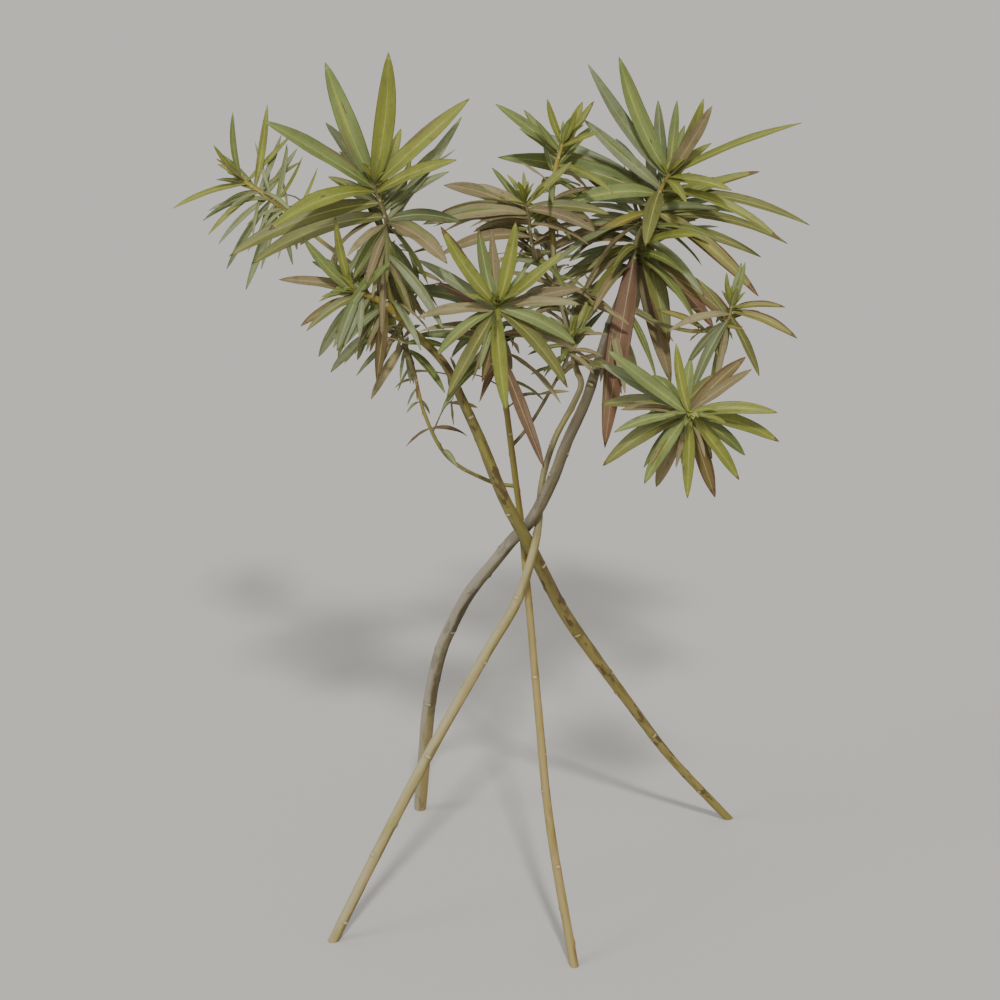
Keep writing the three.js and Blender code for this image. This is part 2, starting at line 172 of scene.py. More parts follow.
# Leafy shoots. Each goes on from its limb's tip, or springs from the side of one. showing holds the leaves
# of the outline: distance back from the shoot's tip, compass direction from +X, rise, length, age, and a
# width for a leaf that its age doesn't fit. fill holds the leaves that a rule deals out behind them: how
# many, how long, over which stretch back from the tip and in which compass directions.
SHOOTS = {
    "leaves_high_left": {
        "from": "stem_right",
        "seed": 11,
        "width": 1,
        "radii": [3.6, 3.2],
        "points": [
            (-32, -271, 926), (-30, -271, 960), (-29, -271, 991), (-38, -271, 1018), (-46, -271, 1042),
        ],
        "fill": {"count": 14, "length": 100, "back": [8, 85], "toward": [15, 165]},
        "showing": [
            (4, 0, 83, 176, BRIGHT), (8, 162, 68, 173, SOFT), (12, 127, 30, 130, SILVER),
            (10, 196, 35, 178, SOFT), (14, 220, -6, 173, BRIGHT), (30, 197, -15, 209, OLIVE),
            (50, 167, -23, 200, OLIVE), (6, 11, 41, 167, BRIGHT), (16, 330, 27, 136, LIME, 17),
            (55, 31, 47, 168, SILVER, 14), (60, 231, -17, 81, TAN), (60, 204, -55, 84, GREEN),
            (66, 238, -53, 79, TAN), (58, 315, -15, 117, TAN, 25), (80, 26, -60, 91, GREY),
            (70, 78, -70, 118, GREEN), (30, 141, -31, 166, GREEN), (40, 70, 12, 119, SILVER),
        ],
    },
    "leaves_far_left": {
        "from": "bough_far_left",
        "seed": 12,
        "width": 0.62,
        "radii": [4.2, 3.8],
        "points": [
            (-155, -70, 927), (-167, -51, 933), (-199, -21, 945), (-239, 9, 964),
        ],
        "fill": {"count": 10, "length": 85, "back": [8, 95], "toward": [20, 160]},
        "showing": [
            (2, 180, 85, 95, SOFT), (8, 218, 51, 77, LIME), (10, 240, 36, 86, TAN),
            (16, 196, -14, 110, BRIGHT), (28, 59, 72, 116, BRIGHT), (36, 53, 54, 85, SILVER),
            (50, 56, 35, 89, SILVER), (40, 237, -3, 72, SILVER), (36, 204, -35, 92, BRIGHT),
            (55, 217, -31, 97, SILVER), (60, 163, -57, 127, SILVER), (74, 303, -65, 85, GREY),
            (70, 180, -70, 133, SILVER),
        ],
    },
    "leaves_left": {
        "from": "stem_right",
        "seed": 13,
        "width": 0.95,
        "radii": [5.4, 4.6],
        "points": [
            (-12, -271, 857), (-34, -281, 881), (-53, -286, 893), (-74, -291, 900),
        ],
        "fill": {"count": 8, "length": 80, "back": [6, 50], "toward": [40, 200]},
        "showing": [
            (2, 180, 78, 104, BRIGHT, 11), (4, 197, 50, 105, SOFT), (6, 135, 15, 88, SILVER),
            (8, 326, 44, 73, LIME), (14, 180, 10, 110, TAN), (24, 193, -21, 98, AMBER),
            (16, 209, -24, 91, OLIVE), (18, 155, -54, 120, SILVER), (10, 243, -45, 86, GREY),
            (14, 266, -50, 62, SILVER), (50, 220, -81, 104, AMBER),
        ],
    },
    "leaves_front": {
        "from": "stem_middle",
        "seed": 14,
        "width": 1,
        "radii": [3.4, 2.8],
        "points": [
            (116, -256, 801), (114, -285, 850), (114, -321, 892),
        ],
        "fill": {"count": 7, "length": 85, "back": [20, 70], "toward": [40, 140]},
        "showing": [
            (2, 180, 56, 129, BRIGHT), (16, 121, 65, 110, GREEN), (18, 98, 62, 108, TAN),
            (3, 0, 78, 116, BRIGHT), (4, 0, 41, 112, BRIGHT), (20, 10, 13, 117, TAN), (14, 0, 4, 109, TAN),
            (8, 0, -26, 115, SOFT), (8, 354, -49, 141, OLIVE), (6, 301, -80, 139, BRIGHT),
            (14, 208, -77, 98, AMBER), (8, 189, -61, 136, GREEN), (10, 180, -40, 104, SOFT),
            (14, 180, -6, 105, TAN), (20, 166, 23, 88, RUST), (22, 158, 6, 134, GREY),
            (12, 174, 32, 122, SILVER), (104, 342, -68, 171, RUST, 19),
        ],
    },
    "leaves_high_right": {
        "from": "stem_back_left",
        "seed": 15,
        "width": 1,
        "radii": [5.2, 5, 4.2],
        "points": [
            (291, -56, 833), (302, -41, 870), (310, -31, 899), (323, -26, 926), (335, -21, 952),
            (349, -21, 980),
        ],
        "fill": {"count": 18, "length": 110, "back": [8, 140], "toward": [20, 160]},
        "showing": [
            (6, 180, 55, 193, SILVER, 21), (3, 180, 67, 180, SOFT), (24, 190, 43, 150, SILVER, 17),
            (16, 99, 64, 115, GREY), (2, 63, 77, 101, SOFT), (4, 0, 67, 118, BRIGHT),
            (8, 341, 60, 124, TAN), (8, 0, 23, 199, BRIGHT, 15), (10, 325, 1, 105, BRIGHT),
            (12, 285, -3, 93, BRIGHT), (34, 205, 1, 141, SOFT), (40, 180, 15, 225, GREEN),
            (36, 162, 22, 205, SILVER), (44, 171, 26, 143, GREEN), (60, 212, -17, 119, AUTUMN, 16),
            (30, 259, -18, 128, OLIVE, 24), (55, 337, -34, 190, AUTUMN, 19), (34, 0, -12, 215, OLIVE, 16),
            (28, 340, -17, 180, LIME, 15), (70, 8, -13, 205, OLIVE, 15), (80, 0, -16, 170, GREEN, 15),
            (90, 298, -60, 161, GREEN), (105, 309, -68, 200, TAN), (118, 252, -60, 276, RUST, 30),
            (140, 214, -33, 128, TAN), (130, 339, -29, 185, AMBER), (125, 10, -44, 160, RUST),
            (40, 124, 33, 115, SILVER), (50, 93, 37, 112, SILVER),
        ],
    },
    "leaves_back": {
        "from": "stem_front_left",
        "seed": 16,
        "width": 1,
        "radii": [4, 4.6, 4, 3],
        "points": [
            (189, -91, 907), (187, -81, 960), (194, -71, 1006), (203, -66, 1037),
        ],
        "fill": {"count": 10, "length": 90, "back": [8, 90], "toward": [20, 160]},
        "showing": [
            (12, 180, 36, 109, SOFT), (2, 180, 71, 65, BRIGHT), (2, 313, 62, 58, BRIGHT),
            (4, 13, 53, 72, BRIGHT), (8, 339, 26, 62, BRIGHT), (14, 211, 52, 63, LIME),
            (20, 143, 22, 72, GREEN),
        ],
    },
    "leaves_low_right": {
        "from": "bough_low_right",
        "seed": 17,
        "width": 1.05,
        "radii": [3.4, 3],
        "points": [
            (335, -415, 793), (346, -460, 801), (355, -511, 812),
        ],
        "fill": {"count": 7, "length": 85, "back": [20, 80], "toward": [40, 140]},
        "showing": [
            (6, 165, 26, 128, SILVER), (4, 174, 38, 132, SOFT), (10, 151, -5, 124, OLIVE),
            (12, 180, 3, 85, TAN), (8, 180, -15, 97, SOFT), (10, 169, -36, 133, GREEN),
            (8, 180, -60, 109, SOFT), (14, 132, -65, 128, TAN), (4, 264, -85, 110, BRIGHT),
            (10, 16, -72, 123, AMBER), (4, 0, -54, 109, BRIGHT), (8, 15, -40, 99, GREEN),
            (8, 10, -21, 126, BRIGHT), (4, 0, 1, 110, BRIGHT), (12, 0, 37, 98, TAN),
            (12, 29, 36, 103, AMBER), (4, 152, 77, 93, BRIGHT),
        ],
    },
    "leaves_right": {
        "from": "bough_right",
        "seed": 18,
        "width": 0.9,
        "radii": [2.6, 2.4],
        "points": [
            (395, -155, 799), (423, -171, 820), (428, -171, 840),
        ],
        "fill": {"count": 8, "length": 75, "back": [4, 50], "toward": [20, 160]},
        "showing": [
            (8, 347, -19, 96, AUTUMN), (6, 0, 3, 73, AUTUMN), (2, 180, 81, 50, SOFT), (3, 48, 65, 64, SOFT),
            (8, 38, 4, 48, GREY), (20, 224, -52, 115, GREY), (30, 202, -45, 75, GREY),
            (16, 156, -76, 99, GREEN), (14, 13, -64, 100, OLIVE), (12, 193, -12, 90, TAN),
        ],
    },
    "leaves_inner_back": {
        "from": "stem_front_left",
        "seed": 19,
        "width": 1,
        "radii": [3, 2.8, 2.4],
        "points": [
            (198, -110, 842), (183, -111, 860), (168, -111, 882), (160, -111, 913), (156, -111, 948),
            (150, -111, 969),
        ],
        "fill": {"count": 8, "length": 95, "back": [4, 60], "toward": [20, 160]},
        "showing": [
            (20, 196, -1, 147, TAN), (4, 180, 63, 34, LIME), (3, 76, 50, 32, LIME),
            (10, 180, 27, 71, TAN), (14, 342, -13, 100, TAN), (12, 5, -6, 114, OLIVE),
            (24, 152, 11, 133, TAN),
        ],
    },
    "leaves_inner_left": {
        "from": "bough_inner_left",
        "seed": 20,
        "width": 0.9,
        "radii": [2.3, 2.1],
        "points": [
            (4, -221, 764), (-3, -221, 792), (-14, -221, 814), (-25, -221, 830),
        ],
        "fill": {"count": 6, "length": 70, "back": [4, 50], "toward": [0, 180]},
        "showing": [
            (10, 243, -40, 59, TAN), (20, 128, -70, 38, SILVER), (4, 161, -39, 118, SILVER),
            (30, 204, -56, 88, TAN), (40, 310, -27, 88, GREEN),
        ],
    },
    "leaves_inner_right": {
        "from": "bough_inner_right",
        "seed": 21,
        "width": 0.8,
        "radii": [2.2, 2],
        "points": [
            (196, -181, 743), (208, -176, 768), (215, -171, 799),
        ],
        "fill": {"count": 5, "length": 55, "back": [2, 30], "toward": [60, 240]},
        "showing": [
            (4, 11, 1, 50, TAN), (20, 18, -37, 41, TAN),
        ],
    },
}

# Width of a leaf of each age as a share of its length, and its greatest width
USUAL_WIDTH = (0.15, 26)
WIDTHS = {GREY: (0.145, 24), SILVER: (0.145, 24), RUST: (0.155, 32), AUTUMN: (0.155, 32)}
ARCH = 0.08  # the rise of a leaf above its chord, as a share of its length, where it stands out level
MOST_UPWARD = -0.4  # of that, for a leaf that stands up
ARCH_RATE = 1.6  # how fast the arch changes with the rise
MOST_ARCHED = -15  # the rise, in degrees, at which a leaf arches most
GOLDEN_ANGLE = 137.5
OWN_SPACE = 20  # degrees that a filling leaf keeps from a leaf of the outline

# How far leaves stray from the rule to either side: width, length and arch as shares, the rest in degrees
SHOWING_STRAY = {"width": 0.1, "arch": 0.02, "roll": 16}
FILL_STRAY = {"length": 0.15, "rise": 12, "azimuth": 8, "width": 0.1, "arch": 0.03, "roll": 25}
FILL_RISES = (58, -48)  # of the youngest and of the oldest filling leaf
FILL_AGES = ((0.3, LIME), (0.6, GREEN), (0.8, GREY), (1, TAN))

# The buds of the part, and what wraps them here: a whorl of heart leaves and the scales of the tip. Leans
# are in degrees from the shoot's heading, and lengths and a scale's width in millimetres. A heart leaf's
# width is a share of its length, and a bud's is a share of the usual width.
BUD = {
    "count": 3, "lean": (8, 26), "length": (22, 38), "back": 2, "width": 1.3, "arch": 0.05, "turn": 20,
    "roll": 25,
}
HEART = {
    "lean": (24, 66), "length": (22, 52), "back": (2, 8), "width": 0.15, "arch": 0.06, "turn": (-20, 20),
    "roll": (-25, 25),
}
HEART_COUNT = 6
NARROW_HEART_COUNT = 2
NARROW = 0.7  # a shoot has a narrow heart where its leaves are this narrow
SCALES = {"count": 7, "lean": (3, 17), "length": (15, 24), "back": (0, 5), "width": 7, "arch": 0.12}
SLENDER_SCALES = 0.5  # the share of that length which stays however slender a shoot's leaves are

# Leaves of sprays and of dry twigs
SPRAY_TRIES = 2  # for each leaf of a spray, as a leaf whose tip would leave the masses is left out
SPRAY_TURN = (-8, 8)
SPRAY_ROLL = (-50, 50)
SPRAY_ARCH = 1.3  # of the usual arch
SHORT_OF_END = 0.001  # keeps a place drawn in a list of ages within the list
TWIG_LEAF = {
    "count": 3, "gap": 6, "turn": 40, "rise": (-70, 20), "length": (34, 60), "width": 0.12, "arch": 0.05,
    "roll": (-70, 70), "tan": 0.55, "forward": 0.5,
}
TWIG_BOW = 0.12  # how far a dry twig bows upwards, as a share of its length
TWIG_RADII = [1.1, 0.8, 0.5]

# How blades bend: the fold along the midrib, the twist from foot to tip and the ripple of the edge
FOLD = (0.34, 0.64)
TWIST, DRY_TWIST = 0.6, 1.3
WAVE, DRY_WAVE = 0.07, 0.14
ROSETTE_SLACK = 0.4  # how freely the leaves of a rosette twist, against those of a spray
SECOND_TONE = 0.4  # share of an age's leaves that take its second tone
LEAF_ROOM = 1.2 * MM  # kept between a leaf's midline and the bark of a limb
OUTER_PART = np.linspace(0.2, 1, 9)  # where that is tested, as shares of the leaf's length

# The outline of a blade and the course of its midline, as shares of its width and length
NECK = 0.1
FULLNESS = 0.75
CROWN = 0.45  # where the middle of a blade's arch lies along its chord
TWIST_START = 0.25  # where a twisted blade lies level
RIPPLES = 2.3  # along the edge of a blade
RIPPLE_SLANT = 1.1  # how far a ripple runs ahead from the midrib to the edge
EDGE_FLATNESS = 0.3  # how much of the fold a blade loses towards its edge
ROD_TAPER = 0.75  # how much thinner a midrib is at its tip
POINTEDNESS = 0.6  # of a patch at both its ends
LEAST_SPREAD = 0.3 * MM

# How high midribs, streaks and scorched parts stand above a blade, and the shares where the lines end
RIB_RISE = 0.3 * MM
STREAK_RISE = 0.12 * MM
SCORCH_RISE = 0.15 * MM
RIB_END = 0.97
RIB_MOST = 0.08  # of the leaf's width
MARGIN_ENDS = (0.03, 0.99)
STREAK_STARTS = (0.02, 0.45)
STREAK_ENDS = (0.9, 0.97)

# Scorched tips, and scorched edges as start, end, lane across the blade and width
TIP_STARTS = (0.9, 0.97)
TIP_WIDTH = 1.02
TURNING_EDGES = ((0.15, 0.99, 0.9, 0.2), (0.45, 0.99, -0.95, 0.12))
BURNT_EDGES = ((0.6, 0.99, 0.9, 0.2),)
BURNT_SHARE = 0.3  # of the scorched leaves that have a burnt edge as well

# Bark: the lines that it follows, its leaf scars, and the sides of a cane where light and shade are painted
# over its own colours
LINE_STEP = 2.4 * MM  # between the rings of a stem's surface
LEAST_STEPS = 6  # along the shortest stem
STEM_OVERLAP = 6  # millimetres that a shoot's stem reaches back into its limb
STEM_END = 0.6  # radius of a shoot's stem at its very tip, as a share of the last in its table
SCAR_STRENGTH = (0.5, 1)
SCAR_SPREAD = (0.7, 1.3)  # of the usual distance between two scars
FIRST_SCAR = 0.6  # of that distance, from the foot
SCAR_REACH = 2.4 * MM  # along the stem, over which a scar stands out
SWELLING_REACH = 5 * MM  # along the stem, over which it swells at a scar
FOOT_REACH = 20 * MM  # how far up a cane its bark is kept from sinking below the ground
GIRTH_SPAN = 8 * MM  # a cane's radius as its bark's pattern takes it to be
BLEACHED_AND_LIT_SIDE = (-0.9, -0.25, 0.3)  # the way that the paler side of a cane faces: painted light, with some real bleaching
OLIVE_AND_SHADED_SIDE = (0.7, 0.2, -0.7)  # the way that its darker, more olive side faces: painted shade, with some of its own colour
CANE_SWELLING = 0.035  # at a leaf scar, as a share of the radius
YOUNG_STEMS = {"spacing": 8 * MM, "swelling": 0.08}
DRY_TWIGS = {"spacing": 6 * MM, "swelling": 0.12}
WELD = 0.01 * MM  # points closer than this become one

# The bark's colour and grain. An edge is where a layer begins to show and where it shows in full, and a
# cover is how much it hides of what lies under it. The raggedness is that of a side's edge.
SCAR_EDGES = ((0.8 * MM, 2.6 * MM), (0.84, 0.95))  # along the stem and round it
SHADOW_EDGES = ((2.2 * MM, 5.5 * MM), (0.6, 0.95))
SWOLLEN_EDGE = (0.6, 0.96)  # round the stem, for the lump at a scar
# Edges of the paler side with painted light and of the darker side with painted shade
BLEACHED_AND_LIT_EDGE, BLEACHED_AND_LIT_RAGGEDNESS = (0, 0.75), 2.4
OLIVE_AND_SHADED_EDGE, OLIVE_AND_SHADED_RAGGEDNESS = (-0.1, 0.65), 2
TIP_SPAN = 0.2  # of a stem's length, over which the upper colour comes in
PALE_FOOT_EDGE = (0.08, 0.26)  # along the stem
PALE_FOOT_LOST = 0.6  # of the paler foot's cover, on the paler side with painted light
GLOW_EDGE, BLOTCH_EDGE, BARK_STREAK_EDGE = (0.48, 0.6), (0.54, 0.62), (0.55, 0.75)
COVERS = {
    "tip": 0.9, "glow": 0.75, "pale": 0.75, "olive_and_shaded": 0.8, "streak": 0.25, "shadow": 0.35, "scar": 0.85,
}
PALE_LOST = 0.35  # of the cover of the paler side's painted light, where the upper colour lies
BARK_DARKEST, BARK_GRAIN = 0.84, 0.32  # brightness where the grain is dark, and what it adds
BARK_SMOOTHEST, BARK_ROUGHENING = 0.55, 0.25  # the same for roughness
BARK_HEIGHTS = (0.5, 0.3, 0.4)  # how far streaks, grain and blotches each raise the bark
BARK_BUMP = 0.6  # how strongly that shows

# The colour and sheen of leaves, with edges and covers as above
TONE_SPAN = (0.82, 1.15)  # brightness of a tone at its darkest and lightest
YELLOWED = (1.16, 1.12, 0.9)  # what yellowing does to its red, green and blue
CLOUD_EDGE, DRIFT_EDGE, STAIN_EDGE = (0.3, 0.7), (0.42, 0.62), (0.53, 0.7)
DRIFT_COVER, STAIN_COVER = 0.5, 0.55
MIDDLE_EDGES = ((0.05, 0.6), (0.02, 0.3))  # of the lighter middle: across the blade and along it
FOOT_EDGE = (0, 0.4)  # along the blade, where its darker foot ends
BLADE_DARKEST, FLECKED, VEINED = 0.62, 0.34, 0.34  # brightness, and what flecks and veins add
FOOT_DARKEST, PAST_FOOT, ON_MIDDLE = 0.84, 0.14, 0.16  # the same for the foot and the middle
FLECK_HEIGHT = 0.4  # against that of the veins
LEAF_BUMP, LEAF_GRAIN_DEPTH = 0.35, 0.8 * MM  # how strongly the veins show, and their depth
LIVING_ROUGHNESS, DRY_ROUGHNESS, SCORCH_ROUGHNESS = 0.48, 0.65, 0.7

# Where the random numbers of each kind of thing start, a step on from one shoot, spray or limb to the next
HEART_SEED = 200
SCALE_SEED = 300
LEAF_LUCK_SEED = 400
SPRAY_LUCK_SEED = 500
TWIG_LEAF_SEED = 600
TWIG_LUCK_SEED = 700
SPRAY_SEED = 900
LIMB_SEED = 40
TWIG_SEED = 80

# The stage: a round floor just under the plant, two distant lamps and the camera
FLOOR_SIDES = 96
FLOOR_RADIUS = 14
FLOOR_MIDDLE = (0.1, 0, -0.5 * MM)
KEY_TOWARD = (0.09, -0.87, 1)
SIDE_TOWARD = (-1, -0.4, 0.7)
SIDE_SOFTNESS = 5  # times the key lamp's
CAMERA_PLACE = (0.118, -4.398, 2.268)
CAMERA_TILT = 68

# Each age comes in one or two tones, dealt out from leaf to leaf
TONES = {
    BRIGHT: ("lime_bright",),
    LIME: ("lime_bright", "lime_soft"),
    SOFT: ("lime_soft",),
    GREEN: ("green_fresh", "green_olive"),
    OLIVE: ("green_olive",),
    GREY: ("grey_green", "green_dull"),
    SILVER: ("silver",),
    AUTUMN: ("autumn",),
    AMBER: ("amber",),
    TAN: ("tan", "straw"),
    RUST: ("rust", "brown"),
}
DRY_TONES = (*TONES[AMBER], *TONES[TAN], *TONES[RUST])
BUD_TONE = "bud"
BRIGHT_TONES = (*TONES[BRIGHT], *TONES[AUTUMN])
MIDDLING_TONES = (*TONES[SOFT], *TONES[GREEN], *TONES[GREY])
LIVING_TONES = (*BRIGHT_TONES, *MIDDLING_TONES, *TONES[SILVER])

# Long patches on the blades: the tones that bear them, the share of those leaves that has one, the ranges
# of its length, its lane across the blade and its width, as shares of the leaf's, and a seed
STREAKS = {
    "yellow": ((*BRIGHT_TONES, *TONES[SOFT]), 0.6, (0.4, 0.8), (0, 0.1), (0.1, 0.2), 31),
    "green": (
        (*MIDDLING_TONES, *TONES[SILVER], *TONES[TAN]), 0.5, (0.3, 0.8), (0.1, 0.7), (0.12, 0.3), 32),
    "tan": ((*LIVING_TONES, "rust", "straw"), 0.4, (0.15, 0.5), (0.5, 0.85), (0.08, 0.2), 33),
    "brown": ((*LIVING_TONES, *DRY_TONES), 0.6, (0.03, 0.1), (0.1, 0.9), (0.04, 0.12), 34),
    "mauve": (TONES[RUST], 0.7, (0.3, 0.8), (0.4, 0.6), (0.2, 0.4), 35),
}

# Which bark each cane and bough wears
BARKS = {
    "stem_back_left": "grey",
    "stem_front_left": "straw",
    "stem_middle": "tawny",
    "stem_right": "olive",
    "bough_far_left": "young",
    "bough_inner_left": "young",
    "bough_inner_right": "dusky",
    "bough_low_right": "young",
    "bough_right": "young",
}

# Which bark a shoot's own stem wears where it isn't the young one
SHOOT_BARKS = {
    "leaves_high_left": "dusky",
    "leaves_front": "dusky",
    "leaves_inner_back": "dusky",
    "leaves_inner_left": "dusky",
    "leaves_inner_right": "dusky",
    "leaves_left": "golden",
    "leaves_back": "golden",
    "leaves_far_left": "golden",
}

# Sprays of narrower leaves that fill the masses from within: the limb or shoot that carries them, the
# stretch back from its tip, how many, compass directions, rises, lengths, width as a share of length, ages
SPRAYS = [
    ("leaves_high_left", (40, 120), 18, (0, 360), (-82, -35), (60, 140), 0.1, (GREEN, SILVER, TAN)),
    ("stem_right", (0, 70), 14, (-50, 180), (-75, -20), (50, 110), 0.1, (TAN, SILVER, TAN)),
    ("leaves_high_left", (20, 80), 8, (20, 160), (-10, 50), (70, 130), 0.11, (GREEN, SILVER)),
    ("leaves_far_left", (30, 110), 14, (180, 330), (-75, -5), (45, 100), 0.08, (SILVER, GREY, SILVER)),
    ("leaves_far_left", (40, 110), 6, (20, 120), (20, 70), (60, 95), 0.06, (SILVER, LIME)),
    ("leaves_left", (6, 60), 15, (140, 235), (-82, -30), (50, 105), 0.11, (SILVER, GREEN, TAN)),
    ("leaves_left", (6, 50), 6, (20, 200), (-20, 40), (50, 80), 0.1, (GREEN, LIME)),
    ("leaves_front", (24, 110), 16, (20, 340), (-60, 15), (70, 125), 0.11, (TAN, GREEN, GREY)),
    ("stem_middle", (0, 70), 8, (0, 360), (-70, -10), (50, 100), 0.1, (TAN, RUST, GREY)),
    ("leaves_inner_back", (16, 60), 9, (150, 225), (-16, 6), (80, 140), 0.12, (TAN, OLIVE, TAN)),
    ("leaves_inner_back", (10, 140), 16, (0, 360), (-35, 30), (60, 120), 0.12, (TAN, GREEN, TAN)),
    ("stem_front_left", (10, 190), 26, (0, 360), (-25, 25), (40, 110), 0.1, (TAN, SILVER, OLIVE, GREY)),
    ("stem_front_left", (60, 220), 14, (0, 360), (-50, 50), (22, 46), 0.22, (SILVER, SILVER, TAN)),
    ("leaves_back", (20, 130), 14, (0, 360), (-40, 45), (55, 100), 0.1, (GREEN, TAN, LIME)),
    ("leaves_high_right", (50, 150), 20, (120, 260), (-30, 15), (90, 180), 0.1, (TAN, OLIVE, SILVER)),
    ("leaves_high_right", (30, 130), 16, (-60, 120), (-35, 25), (90, 170), 0.1, (GREEN, SILVER, LIME)),
    ("leaves_high_right", (20, 90), 8, (60, 180), (30, 70), (70, 120), 0.1, (SILVER, GREY)),
    ("stem_back_left", (0, 110), 12, (-70, 170), (-80, -30), (70, 140), 0.11, (TAN, TAN, GREEN)),
    ("leaves_low_right", (10, 90), 12, (30, 330), (-75, 20), (60, 110), 0.11, (SILVER, TAN, GREEN)),
    ("leaves_right", (4, 70), 12, (0, 360), (-75, 40), (45, 90), 0.12, (TAN, AUTUMN, GREEN)),
    ("leaves_inner_left", (4, 70), 8, (60, 330), (-75, 10), (45, 85), 0.11, (TAN, SILVER)),
    ("bough_inner_left", (0, 120), 8, (0, 360), (-70, 10), (35, 70), 0.1, (TAN, SILVER, RUST)),
    ("leaves_inner_right", (0, 56), 10, (0, 360), (-50, 50), (35, 55), 0.13, (SILVER, TAN, GREEN)),
]

# Thin dry twigs: the piece that each springs from, its distance back from that piece's tip, compass
# direction, rise and length
TWIGS = [
    ("leaves_front", 78, 60, 20, 52), ("leaves_inner_back", 90, 200, 15, 70),
    ("leaves_inner_back", 110, 100, 35, 60), ("leaves_high_left", 108, 60, -8, 70),
    ("stem_right", 60, 30, 20, 80), ("stem_right", 84, 190, -20, 60), ("bough_inner_left", 90, 60, 30, 64),
    ("stem_middle", 60, 170, 10, 76), ("stem_middle", 96, 40, 5, 62),
    ("leaves_high_right", 150, 200, 5, 72), ("leaves_back", 104, 180, 25, 60),
    ("bough_far_left", 90, 90, -20, 62),
]


def seeded(seed):
    """Random numbers from 0 to 1 that come out the same on every run, and the same as the part's."""
    span = 2 ** 32
    stride = 0x6D2B79F5
    mask = span - 1
    state = seed
    while True:
        state = (state + stride) & mask
        mixed = (state ^ (state >> 15)) * (state | 1) & mask
        mixed ^= (mixed + (mixed ^ (mixed >> 7)) * (mixed | 61)) & mask
        yield (mixed ^ (mixed >> 14)) / span


def lerp(start, end, share):
    return start + (end - start) * share


def direction(azimuth, elevation):
    """The unit vector of a compass direction and a rise, in degrees."""
    flat = math.cos(math.radians(elevation))
    turn = math.radians(azimuth)
    return Vector((flat * math.cos(turn), flat * math.sin(turn), math.sin(math.radians(elevation))))


def perpendicular(vector, axis):
    return (vector - axis * vector.dot(axis)).normalized()


def leaning(axis, lean, azimuth):
    """The unit vector that leans away from an axis towards a compass direction, in degrees."""
    lean = math.radians(lean)
    side = perpendicular(direction(azimuth, 0), axis)
    return (axis * math.cos(lean) + side * math.sin(lean)).normalized()


def smooth_curve(points, steps=12):
    """Points along a centripetal Catmull-Rom curve through the given ones."""
    held = [2 * points[0] - points[1], *points, 2 * points[-1] - points[-2]]
    curve = []
    for before, start, end, after in zip(held, held[1:], held[2:], held[3:]):
        first, middle, last = (
            math.sqrt(np.linalg.norm(b - a)) for a, b in ((before, start), (start, end), (end, after)))
        leave = (start - before) / first - (end - before) / (first + middle) + (end - start) / middle
        arrive = (end - start) / middle - (after - start) / (middle + last) + (after - end) / last
        leave, arrive = leave * middle, arrive * middle
        for step in range(steps):
            share = step / steps
            squared = 3 * (end - start) - 2 * leave - arrive
            cubed = 2 * (start - end) + leave + arrive
            curve.append(start + leave * share + squared * share ** 2 + cubed * share ** 3)
    curve.append(points[-1])
    return np.array(curve)


class Path:
    """A smooth curve through points given in millimetres, measured in metres along it."""

    def __init__(self, points):
        self.points = smooth_curve(np.array(points, float) * MM)
        steps = np.linalg.norm(np.diff(self.points, axis=0), axis=1)
        self.runs = np.concatenate([[0.0], np.cumsum(steps)])
        self.length = float(self.runs[-1])

    def at(self, run):
        return Vector([float(np.interp(run, self.runs, self.points[:, axis])) for axis in range(3)])

    def heading(self, run):
        """The unit vector along the path at a distance from its foot."""
        step = 0.5 * MM
        return (self.at(min(run + step, self.length)) - self.at(max(run - step, 0))).normalized()


@dataclass
class Leaf:
    """One leaf: where it is fixed, which way it points, its size in metres, how it bends, its tone, and a
    number that says whether it is scorched."""

    foot: Vector
    chord: Vector
    length: float
    width: float
    arch: float
    roll: float
    tone: str
    fold: float
    twist: float
    wave: float
    phase: float
    luck: float

    @property
    def upper(self):
        """The way that the blade turns its upper face."""
        facing = perpendicular(LIGHT, self.chord)
        facing.rotate(Quaternion(self.chord, math.radians(self.roll)))
        return facing


def arch_at(elevation):
    """A level leaf arches over, one that hangs is straight, and one that stands up bends upwards."""
    return ARCH * max(math.cos(math.radians(ARCH_RATE * (elevation - MOST_ARCHED))), MOST_UPWARD)


